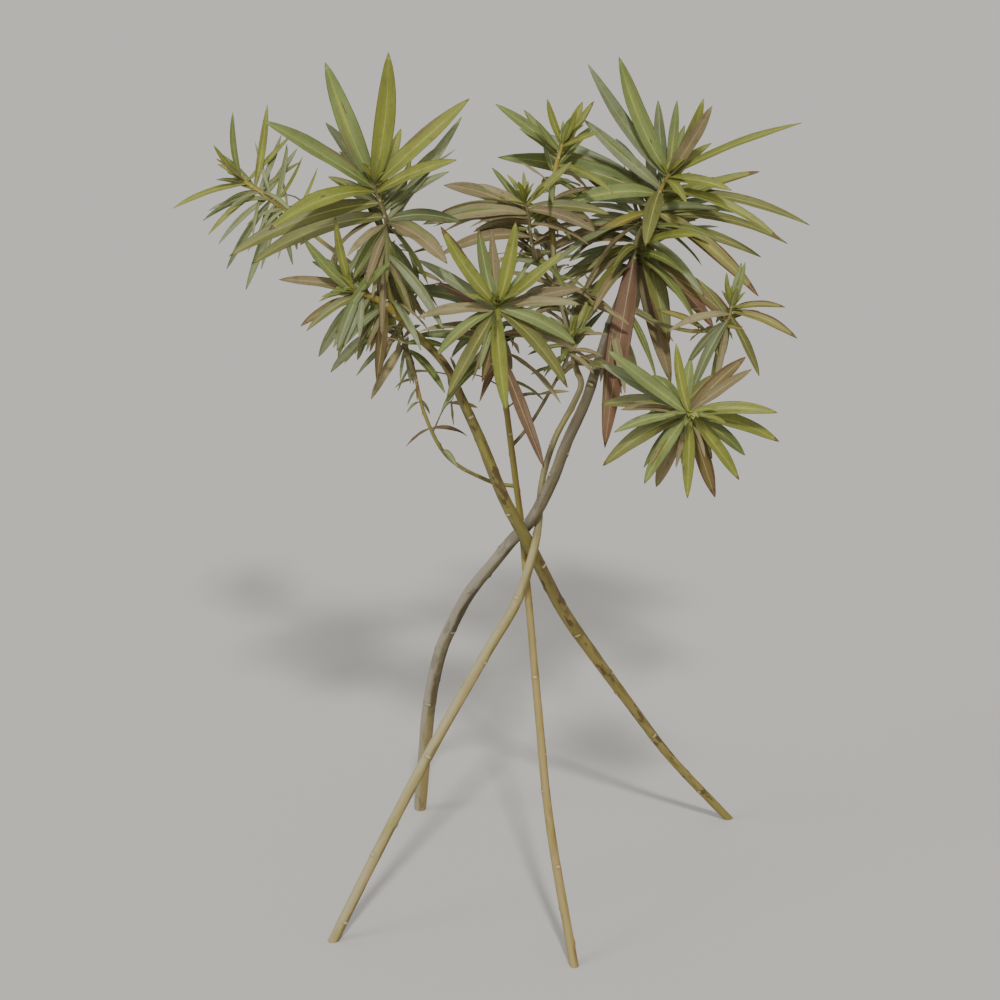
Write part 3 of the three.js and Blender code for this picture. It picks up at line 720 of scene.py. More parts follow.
def leaves_of_part(shoot, path):
    """The leaves of a shoot as the part deals them: foot, chord, length, width, arch, roll and age."""
    random = seeded(shoot["seed"])

    def jitter(reach):
        return (next(random) * 2 - 1) * reach

    rows = []
    for back, azimuth, elevation, length, age, *width in shoot["showing"]:
        share, widest = WIDTHS.get(age, USUAL_WIDTH)
        wide = width[0] if width else min(widest, length * share * shoot["width"])
        wide *= 1 + jitter(SHOWING_STRAY["width"])
        arch = arch_at(elevation) + jitter(SHOWING_STRAY["arch"])
        roll = jitter(SHOWING_STRAY["roll"])
        rows.append([back, direction(azimuth, elevation), length, wide, arch, roll, age])
    shown = [row[1] for row in rows]
    fill = shoot["fill"]
    for k in range(fill["count"]):
        share = (k + 0.5) / fill["count"]
        turn = (k * GOLDEN_ANGLE % 360) / 360
        length = fill["length"] * (1 + jitter(FILL_STRAY["length"]))
        elevation = lerp(*FILL_RISES, share) + jitter(FILL_STRAY["rise"])
        azimuth = lerp(*fill["toward"], turn) + jitter(FILL_STRAY["azimuth"])
        wide = length * USUAL_WIDTH[0] * shoot["width"] * (1 + jitter(FILL_STRAY["width"]))
        arch = arch_at(elevation) + jitter(FILL_STRAY["arch"])
        roll = jitter(FILL_STRAY["roll"])
        chord = direction(azimuth, elevation)
        if all(chord.angle(other) >= math.radians(OWN_SPACE) for other in shown):
            age = next(age for limit, age in FILL_AGES if share < limit)
            rows.append([lerp(*fill["back"], share), chord, length, wide, arch, roll, age])
    tangent = path.heading(path.length)
    for k in range(BUD["count"]):
        share = k / (BUD["count"] - 1)
        chord = leaning(tangent, lerp(*BUD["lean"], share), k * GOLDEN_ANGLE + jitter(BUD["turn"]))
        length = lerp(*BUD["length"], share)
        wide = length * USUAL_WIDTH[0] * BUD["width"]
        rows.append([BUD["back"], chord, length, wide, BUD["arch"], jitter(BUD["roll"]), LIME])
    return rows


def heart_leaves(shoot, path):
    """A whorl of small young leaves round a shoot's heart."""
    random = seeded(shoot["seed"] + HEART_SEED)

    def drawn(name):
        return lerp(*HEART[name], next(random))

    rows = []
    tangent = path.heading(path.length)
    for k in range(HEART_COUNT if shoot["width"] > NARROW else NARROW_HEART_COUNT):
        chord = leaning(tangent, drawn("lean"), k * GOLDEN_ANGLE + drawn("turn"))
        length = drawn("length") * shoot["width"]
        wide = length * HEART["width"]
        rows.append([drawn("back"), chord, length, wide, HEART["arch"], drawn("roll"), LIME])
    return rows


def bud_scales(shoot, path):
    """The pale scales that wrap the tip of a shoot."""
    random = seeded(shoot["seed"] + SCALE_SEED)
    rows = []
    tangent = path.heading(path.length)
    for k in range(SCALES["count"]):
        share = k / (SCALES["count"] - 1)
        chord = leaning(tangent, lerp(*SCALES["lean"], share), k * GOLDEN_ANGLE)
        length = lerp(*SCALES["length"], next(random)) * lerp(SLENDER_SCALES, 1, shoot["width"])
        back = lerp(*SCALES["back"], share)
        rows.append([back, chord, length, SCALES["width"], SCALES["arch"], 0, BUD_TONE])
    return rows


@functools.cache
def mass_boxes():
    """The lowest and highest corner of each mass of leaves."""
    return [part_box(name) for name in SHOOTS]


def within_masses(place):
    return any(all(low[axis] < place[axis] < high[axis] for axis in range(3)) for low, high in mass_boxes())


def spray_leaves(number, spray):
    """The leaves of a spray whose tips stay inside the box of a mass, and the path that carries them."""
    carrier, back, count, toward, elevations, lengths, width, ages = spray
    random = seeded(SPRAY_SEED + number)

    def between(low, high):
        return lerp(low, high, next(random))

    path = Path((LIMBS.get(carrier) or SHOOTS[carrier])["points"])
    rows = []
    for k in range(count * SPRAY_TRIES):
        azimuth = lerp(*toward, k * GOLDEN_ANGLE % 360 / 360) + between(*SPRAY_TURN)
        elevation = between(*elevations)
        length = between(*lengths)
        place = between(*back)
        chord = direction(azimuth, elevation)
        roll = between(*SPRAY_ROLL)
        age = ages[int(between(0, len(ages) - SHORT_OF_END))]
        tip = path.at(max(0, path.length - place * MM)) + chord * length * MM
        if within_masses(tip) and len(rows) < count:
            arch = arch_at(elevation) * SPRAY_ARCH
            rows.append([place, chord, length, length * width, arch, roll, age])
    return path, rows


def touches_bark(foot, chord, length, limbs):
    """Whether a leaf's outer part runs into a cane or bough."""
    line = np.array(foot) + OUTER_PART[:, None] * length * np.array(chord)
    for path, radii in limbs:
        gaps = np.linalg.norm(line[:, None] - path.points[None], axis=2) - radii
        if gaps.min() < LEAF_ROOM:
            return True
    return False


def limb_sizes():
    """The path of each cane and bough with its radius at the path's points."""
    sizes = []
    for limb in LIMBS.values():
        path = Path(limb["points"])
        steps = np.linspace(0, 1, len(limb["radii"]))
        sizes.append((path, np.interp(path.runs / path.length, steps, limb["radii"]) * MM))
    return sizes


@functools.cache
def twig_paths():
    """The path of each dry twig."""
    paths = []
    for name, back, azimuth, elevation, length in TWIGS:
        carrier = Path((LIMBS.get(name) or SHOOTS[name])["points"])
        foot = carrier.at(max(0, carrier.length - back * MM)) / MM
        tip = foot + direction(azimuth, elevation) * length
        middle = foot.lerp(tip, 0.5) + UP * length * TWIG_BOW
        paths.append(Path([foot, middle, tip]))
    return paths


def twig_leaves(path, seed):
    """A few withered leaves at the end of a dry twig."""
    random = seeded(seed)
    rows = []
    for k in range(TWIG_LEAF["count"]):
        rise = lerp(*TWIG_LEAF["rise"], next(random))
        side = direction(k * GOLDEN_ANGLE + seed * TWIG_LEAF["turn"], rise)
        chord = (path.heading(path.length) * TWIG_LEAF["forward"] + side).normalized()
        length = lerp(*TWIG_LEAF["length"], next(random))
        wide = length * TWIG_LEAF["width"]
        age = TAN if next(random) < TWIG_LEAF["tan"] else GREY
        roll = lerp(*TWIG_LEAF["roll"], next(random))
        rows.append([k * TWIG_LEAF["gap"], chord, length, wide, TWIG_LEAF["arch"], roll, age])
    return rows


@functools.cache
def dealt_leaves():
    """Every leaf of the plant that finds room beside the canes and boughs."""
    limbs = limb_sizes()
    carriers = []
    for shoot in SHOOTS.values():
        path = Path(shoot["points"])
        rows = leaves_of_part(shoot, path) + heart_leaves(shoot, path) + bud_scales(shoot, path)
        carriers.append((path, rows, shoot["seed"], ROSETTE_SLACK))
    for k, spray in enumerate(SPRAYS):
        carriers.append((*spray_leaves(k, spray), SPRAY_LUCK_SEED + k, 1))
    for k, path in enumerate(twig_paths()):
        carriers.append((path, twig_leaves(path, TWIG_LEAF_SEED + k), TWIG_LUCK_SEED + k, 1))
    leaves = []
    for path, rows, seed, slack in carriers:
        random = seeded(seed + LEAF_LUCK_SEED)
        for back, chord, length, width, arch, roll, age in rows:
            foot = path.at(max(0, path.length - back * MM))
            luck = [next(random) for _ in range(5)]
            if touches_bark(foot, chord, length * MM, limbs):
                continue
            dry = age in (AMBER, TAN, RUST)
            tones = TONES.get(age, (BUD_TONE,))
            leaves.append(Leaf(
                foot, chord, length * MM, width * MM, arch, roll,
                tone=tones[-1] if luck[0] < SECOND_TONE else tones[0],
                fold=lerp(*FOLD, luck[1]),
                twist=lerp(-1, 1, luck[2]) * slack * (DRY_TWIST if dry else TWIST),
                wave=DRY_WAVE if dry else WAVE,
                phase=luck[3],
                luck=luck[4],
            ))
    return leaves


def streaks(tones, share, reach, lanes, widths, seed):
    """Long patches on the leaves of some tones: each leaf with where its patch starts and ends along it,
    the lane across it where it lies, and its width as a share of the leaf's."""
    random = seeded(seed)
    found = []
    for leaf in dealt_leaves():
        luck = [next(random) for _ in range(6)]
        if leaf.tone in tones and luck[0] < share:
            latest = max(STREAK_STARTS[1], STREAK_ENDS[0] - reach[1])
            start = lerp(STREAK_STARTS[0], latest, luck[1])
            lane = lerp(*lanes, luck[2]) * (1 if luck[3] < 0.5 else -1)
            end = min(STREAK_ENDS[1], start + lerp(*reach, luck[4]))
            found.append((leaf, (start, end, lane), (lerp(*widths, luck[5]), 0, 1)))
    return found


class Field:
    """The value of a node's socket. Python's operators on it add Math or Vector Math nodes."""

    def __init__(self, graph, socket):
        self.graph = graph
        self.socket = socket

    def output(self, name):
        """Another output of the same node."""
        return Field(self.graph, find_socket(self.socket.node.outputs, name))

    def maths(self, operation, *values):
        """A Math node, or a Vector Math node where a value is a vector."""
        if not any(is_vector(value) for value in (self, *values)):
            kind, inputs = "ShaderNodeMath", dict(enumerate((self, *values)))
        elif operation == "MULTIPLY" and not all(is_vector(value) for value in (self, *values)):
            vector, number = (self, values[0]) if is_vector(self) else (values[0], self)
            kind, operation, inputs = "ShaderNodeVectorMath", "SCALE", {"Vector": vector, "Scale": number}
        else:
            kind, inputs = "ShaderNodeVectorMath", dict(enumerate((self, *values)))
        return self.graph.node(kind, {"operation": operation}, inputs)

    def __add__(self, other):
        return self.maths("ADD", other)

    def __radd__(self, other):
        return self.maths("ADD", other)

    def __sub__(self, other):
        return self.maths("SUBTRACT", other)

    def __rsub__(self, other):
        return (self * -1).maths("ADD", other)

    def __mul__(self, other):
        return self.maths("MULTIPLY", other)

    def __rmul__(self, other):
        return self.maths("MULTIPLY", other)

    def __truediv__(self, other):
        return self.maths("DIVIDE", other)

    def __pow__(self, power):
        return self.maths("POWER", power)

    def __abs__(self):
        return self.maths("ABSOLUTE")

    def dot(self, other):
        return self.maths("DOT_PRODUCT", other).output("Value")

    def cross(self, other):
        return self.maths("CROSS_PRODUCT", other)

    def unit(self):
        return self.maths("NORMALIZE")

    def part(self, axis):
        """One of the numbers of a vector."""
        return self.graph.node("ShaderNodeSeparateXYZ", {}, {0: self}).output(axis)

    def step(self, low, high):
        """A smooth step from 0 to 1."""
        return self.graph.node(
            "ShaderNodeMapRange", {"interpolation_type": "SMOOTHSTEP"},
            {"Value": self, "From Min": low, "From Max": high})


def is_vector(value):
    if isinstance(value, Field):
        return value.socket.type in ("VECTOR", "RGBA")
    return isinstance(value, tuple)


def find_socket(sockets, name):
    """A socket by its place, its identifier, or its name among those in use."""
    if isinstance(name, int):
        return sockets[name]
    return next(
        (socket for socket in sockets if socket.identifier == name),
        None) or next(socket for socket in sockets if socket.enabled and socket.name == name)


class Graph:
    """Builds a node tree."""

    def __init__(self, tree):
        self.tree = tree
        self.tree.nodes.clear()

    def node(self, kind, settings, values):
        """Adds a node, gives it its settings, fills or links its sockets, and returns its first output."""
        node = self.tree.nodes.new(kind)
        for name, setting in settings.items():
            setattr(node, name, setting)
        for name, value in values.items():
            socket = find_socket(node.inputs, name)
            if isinstance(value, Field):
                self.tree.links.new(value.socket, socket)
            else:
                socket.default_value = value
        shown = [socket for socket in node.outputs if socket.enabled]
        return Field(self, shown[0]) if shown else None

    def noise(self, place, scale=1.0, detail=2.0, roughness=0.5):
        """A soft pattern from 0 to 1 over places."""
        return self.node(
            "ShaderNodeTexNoise", {},
            {"Vector": place, "Scale": scale, "Detail": detail, "Roughness": roughness})


class Growth(Graph):
    """Builds a tree of geometry nodes with named inputs."""

    def __init__(self, name):
        super().__init__(bpy.data.node_groups.new(name, "GeometryNodeTree"))
        self.tree.interface.new_socket(name="Geometry", in_out="OUTPUT", socket_type="NodeSocketGeometry")
        self.given = self.tree.nodes.new("NodeGroupInput")

    def input(self, name, kind, default=None):
        """A named input of the tree."""
        made = self.tree.interface.new_socket(name=name, in_out="INPUT", socket_type="NodeSocket" + kind)
        if default is not None:
            made.default_value = default
        return Field(self, find_socket(self.given.outputs, name))

    def attribute(self, name, kind="FLOAT_VECTOR"):
        return self.node("GeometryNodeInputNamedAttribute", {"data_type": kind}, {"Name": name})

    def store(self, geometry, name, value):
        """Keeps a value on the points of a shape under a name."""
        kind = "FLOAT_VECTOR" if is_vector(value) else "FLOAT"
        return self.node(
            "GeometryNodeStoreNamedAttribute", {"data_type": kind, "domain": "POINT"},
            {"Geometry": geometry, "Name": name, "Value": value})

    def round_profile(self, sides):
        """A circle that carries its own points as directions round a limb or leaf."""
        circle = self.node("GeometryNodeCurvePrimitiveCircle", {}, {"Resolution": sides, "Radius": 1.0})
        return self.store(circle, "girth", self.node("GeometryNodeInputPosition", {}, {}))

    def move(self, geometry, position):
        return self.node("GeometryNodeSetPosition", {}, {"Geometry": geometry, "Position": position})

    def finish(self, geometry, material):
        """Ends the tree: no doubled points, smooth faces, no instances, and the material."""
        merged = self.node("GeometryNodeMergeByDistance", {}, {"Geometry": geometry, "Distance": WELD})
        smooth = self.node("GeometryNodeSetShadeSmooth", {}, {"Geometry": merged})
        real = self.node("GeometryNodeRealizeInstances", {}, {"Geometry": smooth})
        painted = self.node("GeometryNodeSetMaterial", {}, {"Geometry": real, "Material": material})
        self.node("NodeGroupOutput", {}, {"Geometry": painted})
        return self.tree


@functools.cache
def bark_growth():
    """Geometry nodes that put bark round every line of a mesh, with relief, leaf scars and a level foot."""
    graph = Growth("Bark growth")
    lines = graph.input("Lines", "Geometry")
    sides = graph.input("Sides", "Int", 24)
    relief = graph.input("Relief", "Float", 0.3 * MM)
    lump = graph.input("Lump Size", "Float", 12 * MM)
    scar_height = graph.input("Scar Height", "Float", 0.7 * MM)
    material = graph.input("Finish", "Material")
    curve = graph.node("GeometryNodeMeshToCurve", {}, {"Mesh": lines})
    curve = graph.store(curve, "lengthwise", graph.node("GeometryNodeInputTangent", {}, {}))
    curve = graph.store(curve, "centre", graph.node("GeometryNodeInputPosition", {}, {}))
    radius = graph.attribute("radius", "FLOAT")
    tube = graph.node(
        "GeometryNodeCurveToMesh", {},
        {"Curve": curve, "Profile Curve": graph.round_profile(sides), "Scale": radius, "Fill Caps": True})
    girth = graph.attribute("girth")
    scar = graph.attribute("scar")
    facing = girth.dot(graph.attribute("scar_side"))
    round_x, round_y = (girth.part(axis) * GIRTH_SPAN for axis in "XY")
    run = graph.attribute("run", "FLOAT")
    skin = graph.node("ShaderNodeCombineXYZ", {}, {"X": round_x, "Y": round_y, "Z": run})
    marks = graph.node("ShaderNodeCombineXYZ", {}, {"X": scar.part("X"), "Y": facing, "Z": scar.part("Y")})
    tube = graph.store(tube, "skin", skin)
    tube = graph.store(tube, "marks", marks)
    place = graph.node("GeometryNodeInputPosition", {}, {})
    outward = (place - graph.attribute("centre")).unit()
    lumps = graph.noise(place / lump.maths("MAXIMUM", MM)) - 0.5
    near = (scar.part("X") / SCAR_REACH) ** 2 * -1
    bump = near.maths("EXPONENT") * facing.step(*SWOLLEN_EDGE) * scar.part("Y") * scar_height
    tube = graph.store(tube, "outward", outward)
    tube = graph.move(tube, place + outward * (lumps * relief * 2 + bump))
    settled = graph.node("GeometryNodeInputPosition", {}, {})
    drop = settled.part("Z") * -1
    lengthwise = graph.attribute("lengthwise")
    foot = graph.attribute("foot", "FLOAT")
    below = drop.maths("MAXIMUM", drop * foot) * foot.maths("MAXIMUM", graph.attribute("low", "FLOAT"))
    tube = graph.move(tube, settled + lengthwise * (below / lengthwise.part("Z")))
    return graph.finish(tube, material)


@functools.cache
def leaf_growth():
    """Geometry nodes that grow a blade, or a thin rod along a blade, at every point of a mesh."""
    graph = Growth("Leaf growth")
    points = graph.input("Leaves", "Geometry")
    stations = graph.input("Stations", "Int", 17)
    sides = graph.input("Sides", "Int", 12)
    material = graph.input("Finish", "Material")
    line = graph.node("GeometryNodeCurvePrimitiveLine", {}, {"End": (1, 0, 0)})
    line = graph.node("GeometryNodeResampleCurve", {}, {"Curve": line, "Count": stations})
    line = graph.store(line, "share", graph.node("GeometryNodeSplineParameter", {}, {}))
    blank = graph.node(
        "GeometryNodeCurveToMesh", {},
        {"Curve": line, "Profile Curve": graph.round_profile(sides), "Fill Caps": True})
    leaves = graph.node("GeometryNodeInstanceOnPoints", {}, {"Points": points, "Instance": blank})
    leaves = graph.node("GeometryNodeRealizeInstances", {}, {"Geometry": leaves})

    size = graph.attribute("size")
    length, half_width, half_thickness = (size.part(axis) for axis in "XYZ")
    bend = graph.attribute("bend")
    arch, fold, twist = (bend.part(axis) for axis in "XYZ")
    margin = graph.attribute("margin")
    wave, phase = (margin.part(axis) for axis in "XY")
    stretch = graph.attribute("stretch")
    girth = graph.attribute("girth")
    chord = graph.attribute("chord")
    rise = graph.attribute("rise")
    station = graph.attribute("share", "FLOAT")
    share = stretch.part("X") + (stretch.part("Y") - stretch.part("X")) * station
    rest = 1 - share
    outline = NECK * rest ** 3 + (share * rest * 4).maths("MAXIMUM", 0.0) ** FULLNESS
    hump = share * rest * 2
    midline = chord * (hump * CROWN + share ** 2) + rise * (hump * arch * 2)
    slope = chord * (2 * CROWN * (rest - share) + share * 2) + rise * ((rest - share) * arch * 4)
    tangent = slope.unit()
    flat = chord.cross(graph.attribute("upper"))
    normal = flat.cross(tangent).unit()
    turn = twist * (share - TWIST_START)
    sideways = flat * turn.maths("COSINE") + normal * turn.maths("SINE")
    normal = sideways.cross(tangent).unit()
    spread = half_width * outline
    strip = graph.attribute("strip")
    wide, rod, pointed = (strip.part(axis) for axis in "XYZ")
    point = (station * (1 - station) * 4).maths("MAXIMUM", 0.0) ** POINTEDNESS
    own = spread * wide * (1 - pointed + pointed * point) + rod * (1 - share * ROD_TAPER)
    across = stretch.part("Z") * spread + girth.part("X") * own
    reach = abs(across)
    lean = across / spread.maths("MAXIMUM", LEAST_SPREAD)
    ripple = ((share * RIPPLES + phase) * 2 * math.pi + lean * RIPPLE_SLANT).maths("SINE")
    height = reach * (fold * (1 - abs(lean) * EDGE_FLATNESS) + wave * ripple)
    thickness = half_thickness * (outline * 2).maths("MINIMUM", 1.0)
    offset = sideways * across + normal * (height + girth.part("Y") * thickness)
    leaves = graph.store(leaves, "blade", graph.node(
        "ShaderNodeCombineXYZ", {}, {"X": share, "Y": lean, "Z": girth.part("Y")}))
    leaves = graph.move(leaves, graph.attribute("start") + midline * length + offset)
    return graph.finish(leaves, material)


def grow(name, mesh, tree, **values):
    """Runs geometry nodes over a mesh and returns an object at the origin with the plain mesh they make."""
    piece = bpy.data.objects.new(name, mesh)
    bpy.context.scene.collection.objects.link(piece)
    modifier = piece.modifiers.new("Growth", "NODES")
    modifier.node_group = tree
    for socket in tree.interface.items_tree:
        key = socket.name.lower().replace(" ", "_")
        if socket.in_out == "INPUT" and key in values:
            modifier[socket.identifier] = values[key]
    view = bpy.context.evaluated_depsgraph_get()
    grown = bpy.data.meshes.new_from_object(
        piece.evaluated_get(view), preserve_all_data_layers=True, depsgraph=view)
    piece.modifiers.clear()
    piece.data = grown
    bpy.data.meshes.remove(mesh)
    if not grown.polygons:
        raise RuntimeError(f"no faces grew on {name}")
    return piece


def point_mesh(points, attributes, edges=()):
    """A mesh of points, joined by edges if any are given, with named numbers or vectors on them."""
    mesh = bpy.data.meshes.new("points")
    mesh.from_pydata([tuple(point) for point in points], edges, [])
    for name, values in attributes.items():
        values = np.array([tuple(value) if hasattr(value, "__len__") else value for value in values], float)
        kind, key = ("FLOAT", "value") if values.ndim == 1 else ("FLOAT_VECTOR", "vector")
        mesh.attributes.new(name, kind, "POINT").data.foreach_set(key, values.ravel())
    return mesh


def line_mesh(lines):
    """A mesh of lines for bark growth. Each line is a path with radii in millimetres, a seed, its spacing
    of scars in metres, how much it swells there, and whether it stands on the ground."""
    points, edges = [], []
    rows = {name: [] for name in ("radius", "run", "age", "scar", "scar_side", "foot", "low")}
    for path, radii, seed, spacing, swelling, grounded in lines:
        random = seeded(seed)
        scars, run = [], spacing * FIRST_SCAR
        while run < path.length:
            turn = math.radians(len(scars) * GOLDEN_ANGLE)
            side = Vector((math.cos(turn), math.sin(turn), 0))
            scars.append((run, side, lerp(*SCAR_STRENGTH, next(random))))
            run += spacing * lerp(*SCAR_SPREAD, next(random))
        steps = np.linspace(0, 1, len(radii))
        count = max(LEAST_STEPS, round(path.length / LINE_STEP))
        for k in range(count + 1):
            run = path.length * k / count
            place, side, strength = min(scars, key=lambda scar: abs(scar[0] - run))
            gap = abs(place - run)
            swollen = 1 + swelling * strength * math.exp(-(gap / SWELLING_REACH) ** 2)
            age = k / count
            if k:
                edges.append((len(points) - 1, len(points)))
            points.append(path.at(run))
            rows["radius"].append(float(np.interp(age, steps, radii)) * MM * swollen)
            rows["run"].append(run)
            rows["age"].append(age)
            rows["scar"].append((gap, strength, 0))
            rows["scar_side"].append(side)
            rows["foot"].append(float(grounded and k == 0))
            rows["low"].append(float(grounded and run < FOOT_REACH))
    return point_mesh(points, rows, edges)


def leaf_mesh(parts, thickness):
    """A mesh of points for leaf growth. Each part is a leaf, the shares of its length where the part starts
    and ends with its lane across the leaf, and the part's width as a share of the leaf's, its width as a
    rod, and whether it is pointed at both ends."""
    leaves = [part[0] for part in parts]
    return point_mesh([leaf.foot for leaf in leaves], {
        "start": [leaf.foot for leaf in leaves],
        "chord": [leaf.chord for leaf in leaves],
        "rise": [perpendicular(UP, leaf.chord) for leaf in leaves],
        "upper": [leaf.upper for leaf in leaves],
        "size": [(leaf.length, leaf.width / 2, thickness) for leaf in leaves],
        "bend": [(leaf.arch, leaf.fold, leaf.twist) for leaf in leaves],
        "margin": [(leaf.wave, leaf.phase, 0) for leaf in leaves],
        "stretch": [part[1] for part in parts],
        "strip": [part[2] for part in parts],
    })


def whole(leaf):
    """A leaf's blade as a part."""
    return leaf, (0, 1, 0), (1, 0, 0)


def screen(red, green, blue):
    """A colour given as it looks on a screen, from 0 to 255, as plain light."""
    values = (value / 255 for value in (red, green, blue))
    return tuple(
        value / 12.92 if value <= 0.04045 else ((value + 0.055) / 1.055) ** 2.4 for value in values)


def shader(name):
    """A new material with its graph."""
    material = bpy.data.materials.new(name)
    material.use_nodes = True
    return material, Graph(material.node_tree)


def surface(graph, values):
    """Ends a material with its surface shader."""
    skin = graph.node("ShaderNodeBsdfPrincipled", {}, values)
    graph.node("ShaderNodeOutputMaterial", {}, {"Surface": skin})


def blend(graph, share, first, second):
    """A mix of two colours."""
    colours = {"Factor_Float": share}
    for key, colour in (("A_Color", first), ("B_Color", second)):
        colours[key] = colour if isinstance(colour, Field) else (*colour, 1)
    return graph.node("ShaderNodeMix", {"data_type": "RGBA"}, colours).output("Result_Color")


def bark_finish(name, bark, settings):
    """Bark: long blotches, a paler side of painted light with some real bleaching, a darker, more olive
    side of painted shade with some of the bark's own colour, small pale scars, another colour towards the
    tip, and a paler, yellower foot."""
    material, graph = shader(name)
    skin, marks, outward = (
        graph.node("ShaderNodeAttribute", {"attribute_name": key}, {}).output("Vector")
        for key in ("skin", "marks", "outward"))
    age = graph.node("ShaderNodeAttribute", {"attribute_name": "age"}, {}).output("Fac")
    blotch = graph.noise(skin * (2.4, 2.4, 0.9), scale=34, detail=3, roughness=0.55)
    warm = graph.noise(skin * (1.6, 1.6, 0.4) + (5.2, 1.7, 0.4), scale=58, detail=3, roughness=0.55)
    paler_side_noise = graph.noise(skin * (1.8, 1.8, 0.16) + (3.1, 0.4, 0.7), scale=60, detail=3, roughness=0.55)
    streak = graph.noise(skin * (1, 1, 0.04), scale=420, detail=3, roughness=0.6)
    grain = graph.noise(skin * (1, 1, 0.3), scale=1500)
    gap = marks.part("X")
    facing = marks.part("Y")
    scar, shadow = (
        (1 - gap.step(*along)) * facing.step(*around) for along, around in (SCAR_EDGES, SHADOW_EDGES))
    # One side is paler with painted light from the left and some real bleaching, the other darker and more
    # olive with painted shade and some of the bark's own colour
    bleached_and_lit = (outward.dot(BLEACHED_AND_LIT_SIDE) + (paler_side_noise - 0.5) * BLEACHED_AND_LIT_RAGGEDNESS).step(*BLEACHED_AND_LIT_EDGE)
    olive_and_shaded = (outward.dot(OLIVE_AND_SHADED_SIDE) + (warm - 0.5) * OLIVE_AND_SHADED_RAGGEDNESS).step(*OLIVE_AND_SHADED_EDGE)
    upper = age.step(bark.tip_from, bark.tip_from + TIP_SPAN)
    colour = bark.ground
    # The third layer paints light on the paler side, and the fourth paints shade on the darker side in the
    # colour of the dark blotches
    for cover, layer in (
            (upper * COVERS["tip"], bark.tip),
            (warm.step(*GLOW_EDGE) * COVERS["glow"], bark.glow),
            (bleached_and_lit * (COVERS["pale"] - upper * PALE_LOST), bark.pale),
            (olive_and_shaded * COVERS["olive_and_shaded"], bark.patch),
            ((1 - age.step(*PALE_FOOT_EDGE)) * (1 - bleached_and_lit * PALE_FOOT_LOST) * bark.pale_foot, settings.pale_foot),
            (blotch.step(*BLOTCH_EDGE) * bark.spotted, bark.patch),
            (streak.step(*BARK_STREAK_EDGE) * COVERS["streak"], bark.patch),
            (shadow * COVERS["shadow"], bark.patch),
            (scar * COVERS["scar"], settings.scar)):
        colour = blend(graph, cover, colour, layer)
    colour = colour * (BARK_DARKEST + grain * BARK_GRAIN)
    height = streak * BARK_HEIGHTS[0] + grain * BARK_HEIGHTS[1] + blotch * BARK_HEIGHTS[2]
    bump = graph.node(
        "ShaderNodeBump", {}, {"Strength": BARK_BUMP, "Distance": settings.grain_depth, "Height": height})
    roughness = BARK_SMOOTHEST + grain * BARK_ROUGHENING
    surface(graph, {"Base Color": colour, "Roughness": roughness, "Normal": bump})
    return material


def leaf_finish(name, tone, stain, roughness=0.5):
    """A leaf: one tone that drifts over the plant, with stains and a fine lengthwise grain."""
    material, graph = shader(name)
    place = graph.node("ShaderNodeTexCoord", {}, {}).output("Object")
    cloud = graph.noise(place, scale=16)
    stains = graph.noise(place + (7.3, 2.9, 4.1), scale=75, detail=4, roughness=0.65)
    fleck = graph.noise(place, scale=260, detail=3)
    blade = graph.node("ShaderNodeAttribute", {"attribute_name": "blade"}, {}).output("Vector")
    veins = graph.noise(blade * (6, 14, 0) + place * 20)
    share, lean = (blade.part(axis) for axis in "XY")
    drift = graph.noise(blade * (2.2, 1.8, 0) + place * 6)
    dark, light = (tuple(value * scale for value in tone) for scale in TONE_SPAN)
    yellowed = tuple(value * scale for value, scale in zip(tone, YELLOWED))
    colour = blend(graph, cloud.step(*CLOUD_EDGE), dark, light)
    colour = blend(graph, drift.step(*DRIFT_EDGE) * DRIFT_COVER, colour, yellowed)
    colour = blend(graph, stains.step(*STAIN_EDGE) * STAIN_COVER, colour, stain)
    middle = (1 - abs(lean).step(*MIDDLE_EDGES[0])) * share.step(*MIDDLE_EDGES[1])
    colour = colour * (BLADE_DARKEST + fleck * FLECKED + veins * VEINED)
    colour = colour * (FOOT_DARKEST + share.step(*FOOT_EDGE) * PAST_FOOT + middle * ON_MIDDLE)
    bump = graph.node("ShaderNodeBump", {}, {
        "Strength": LEAF_BUMP, "Distance": LEAF_GRAIN_DEPTH, "Height": veins + fleck * FLECK_HEIGHT})
    surface(graph, {"Base Color": colour, "Roughness": roughness, "Normal": bump})
    return material


def colour_setting(name, description, *values):
    return FloatVectorProperty(
        name=name, description=description, subtype="COLOR", size=3, min=0, max=1, default=screen(*values))


def length_setting(name, description, default):
    return FloatProperty(
        name=name, description=description, subtype="DISTANCE", unit="LENGTH", min=0, default=default)


@dataclass
class Bark:
    """A kind of bark: where it grows, its colours as they look on a screen, the share of its stem's length
    where the upper colour starts, how strong its blotches are, and how strongly its foot turns paler and
    yellower."""

    place: str
    ground: tuple
    patch: tuple
    glow: tuple
    pale: tuple
    tip: tuple
    tip_from: float = 0.6
    spotted: float = 0.4
    pale_foot: float = 0.0


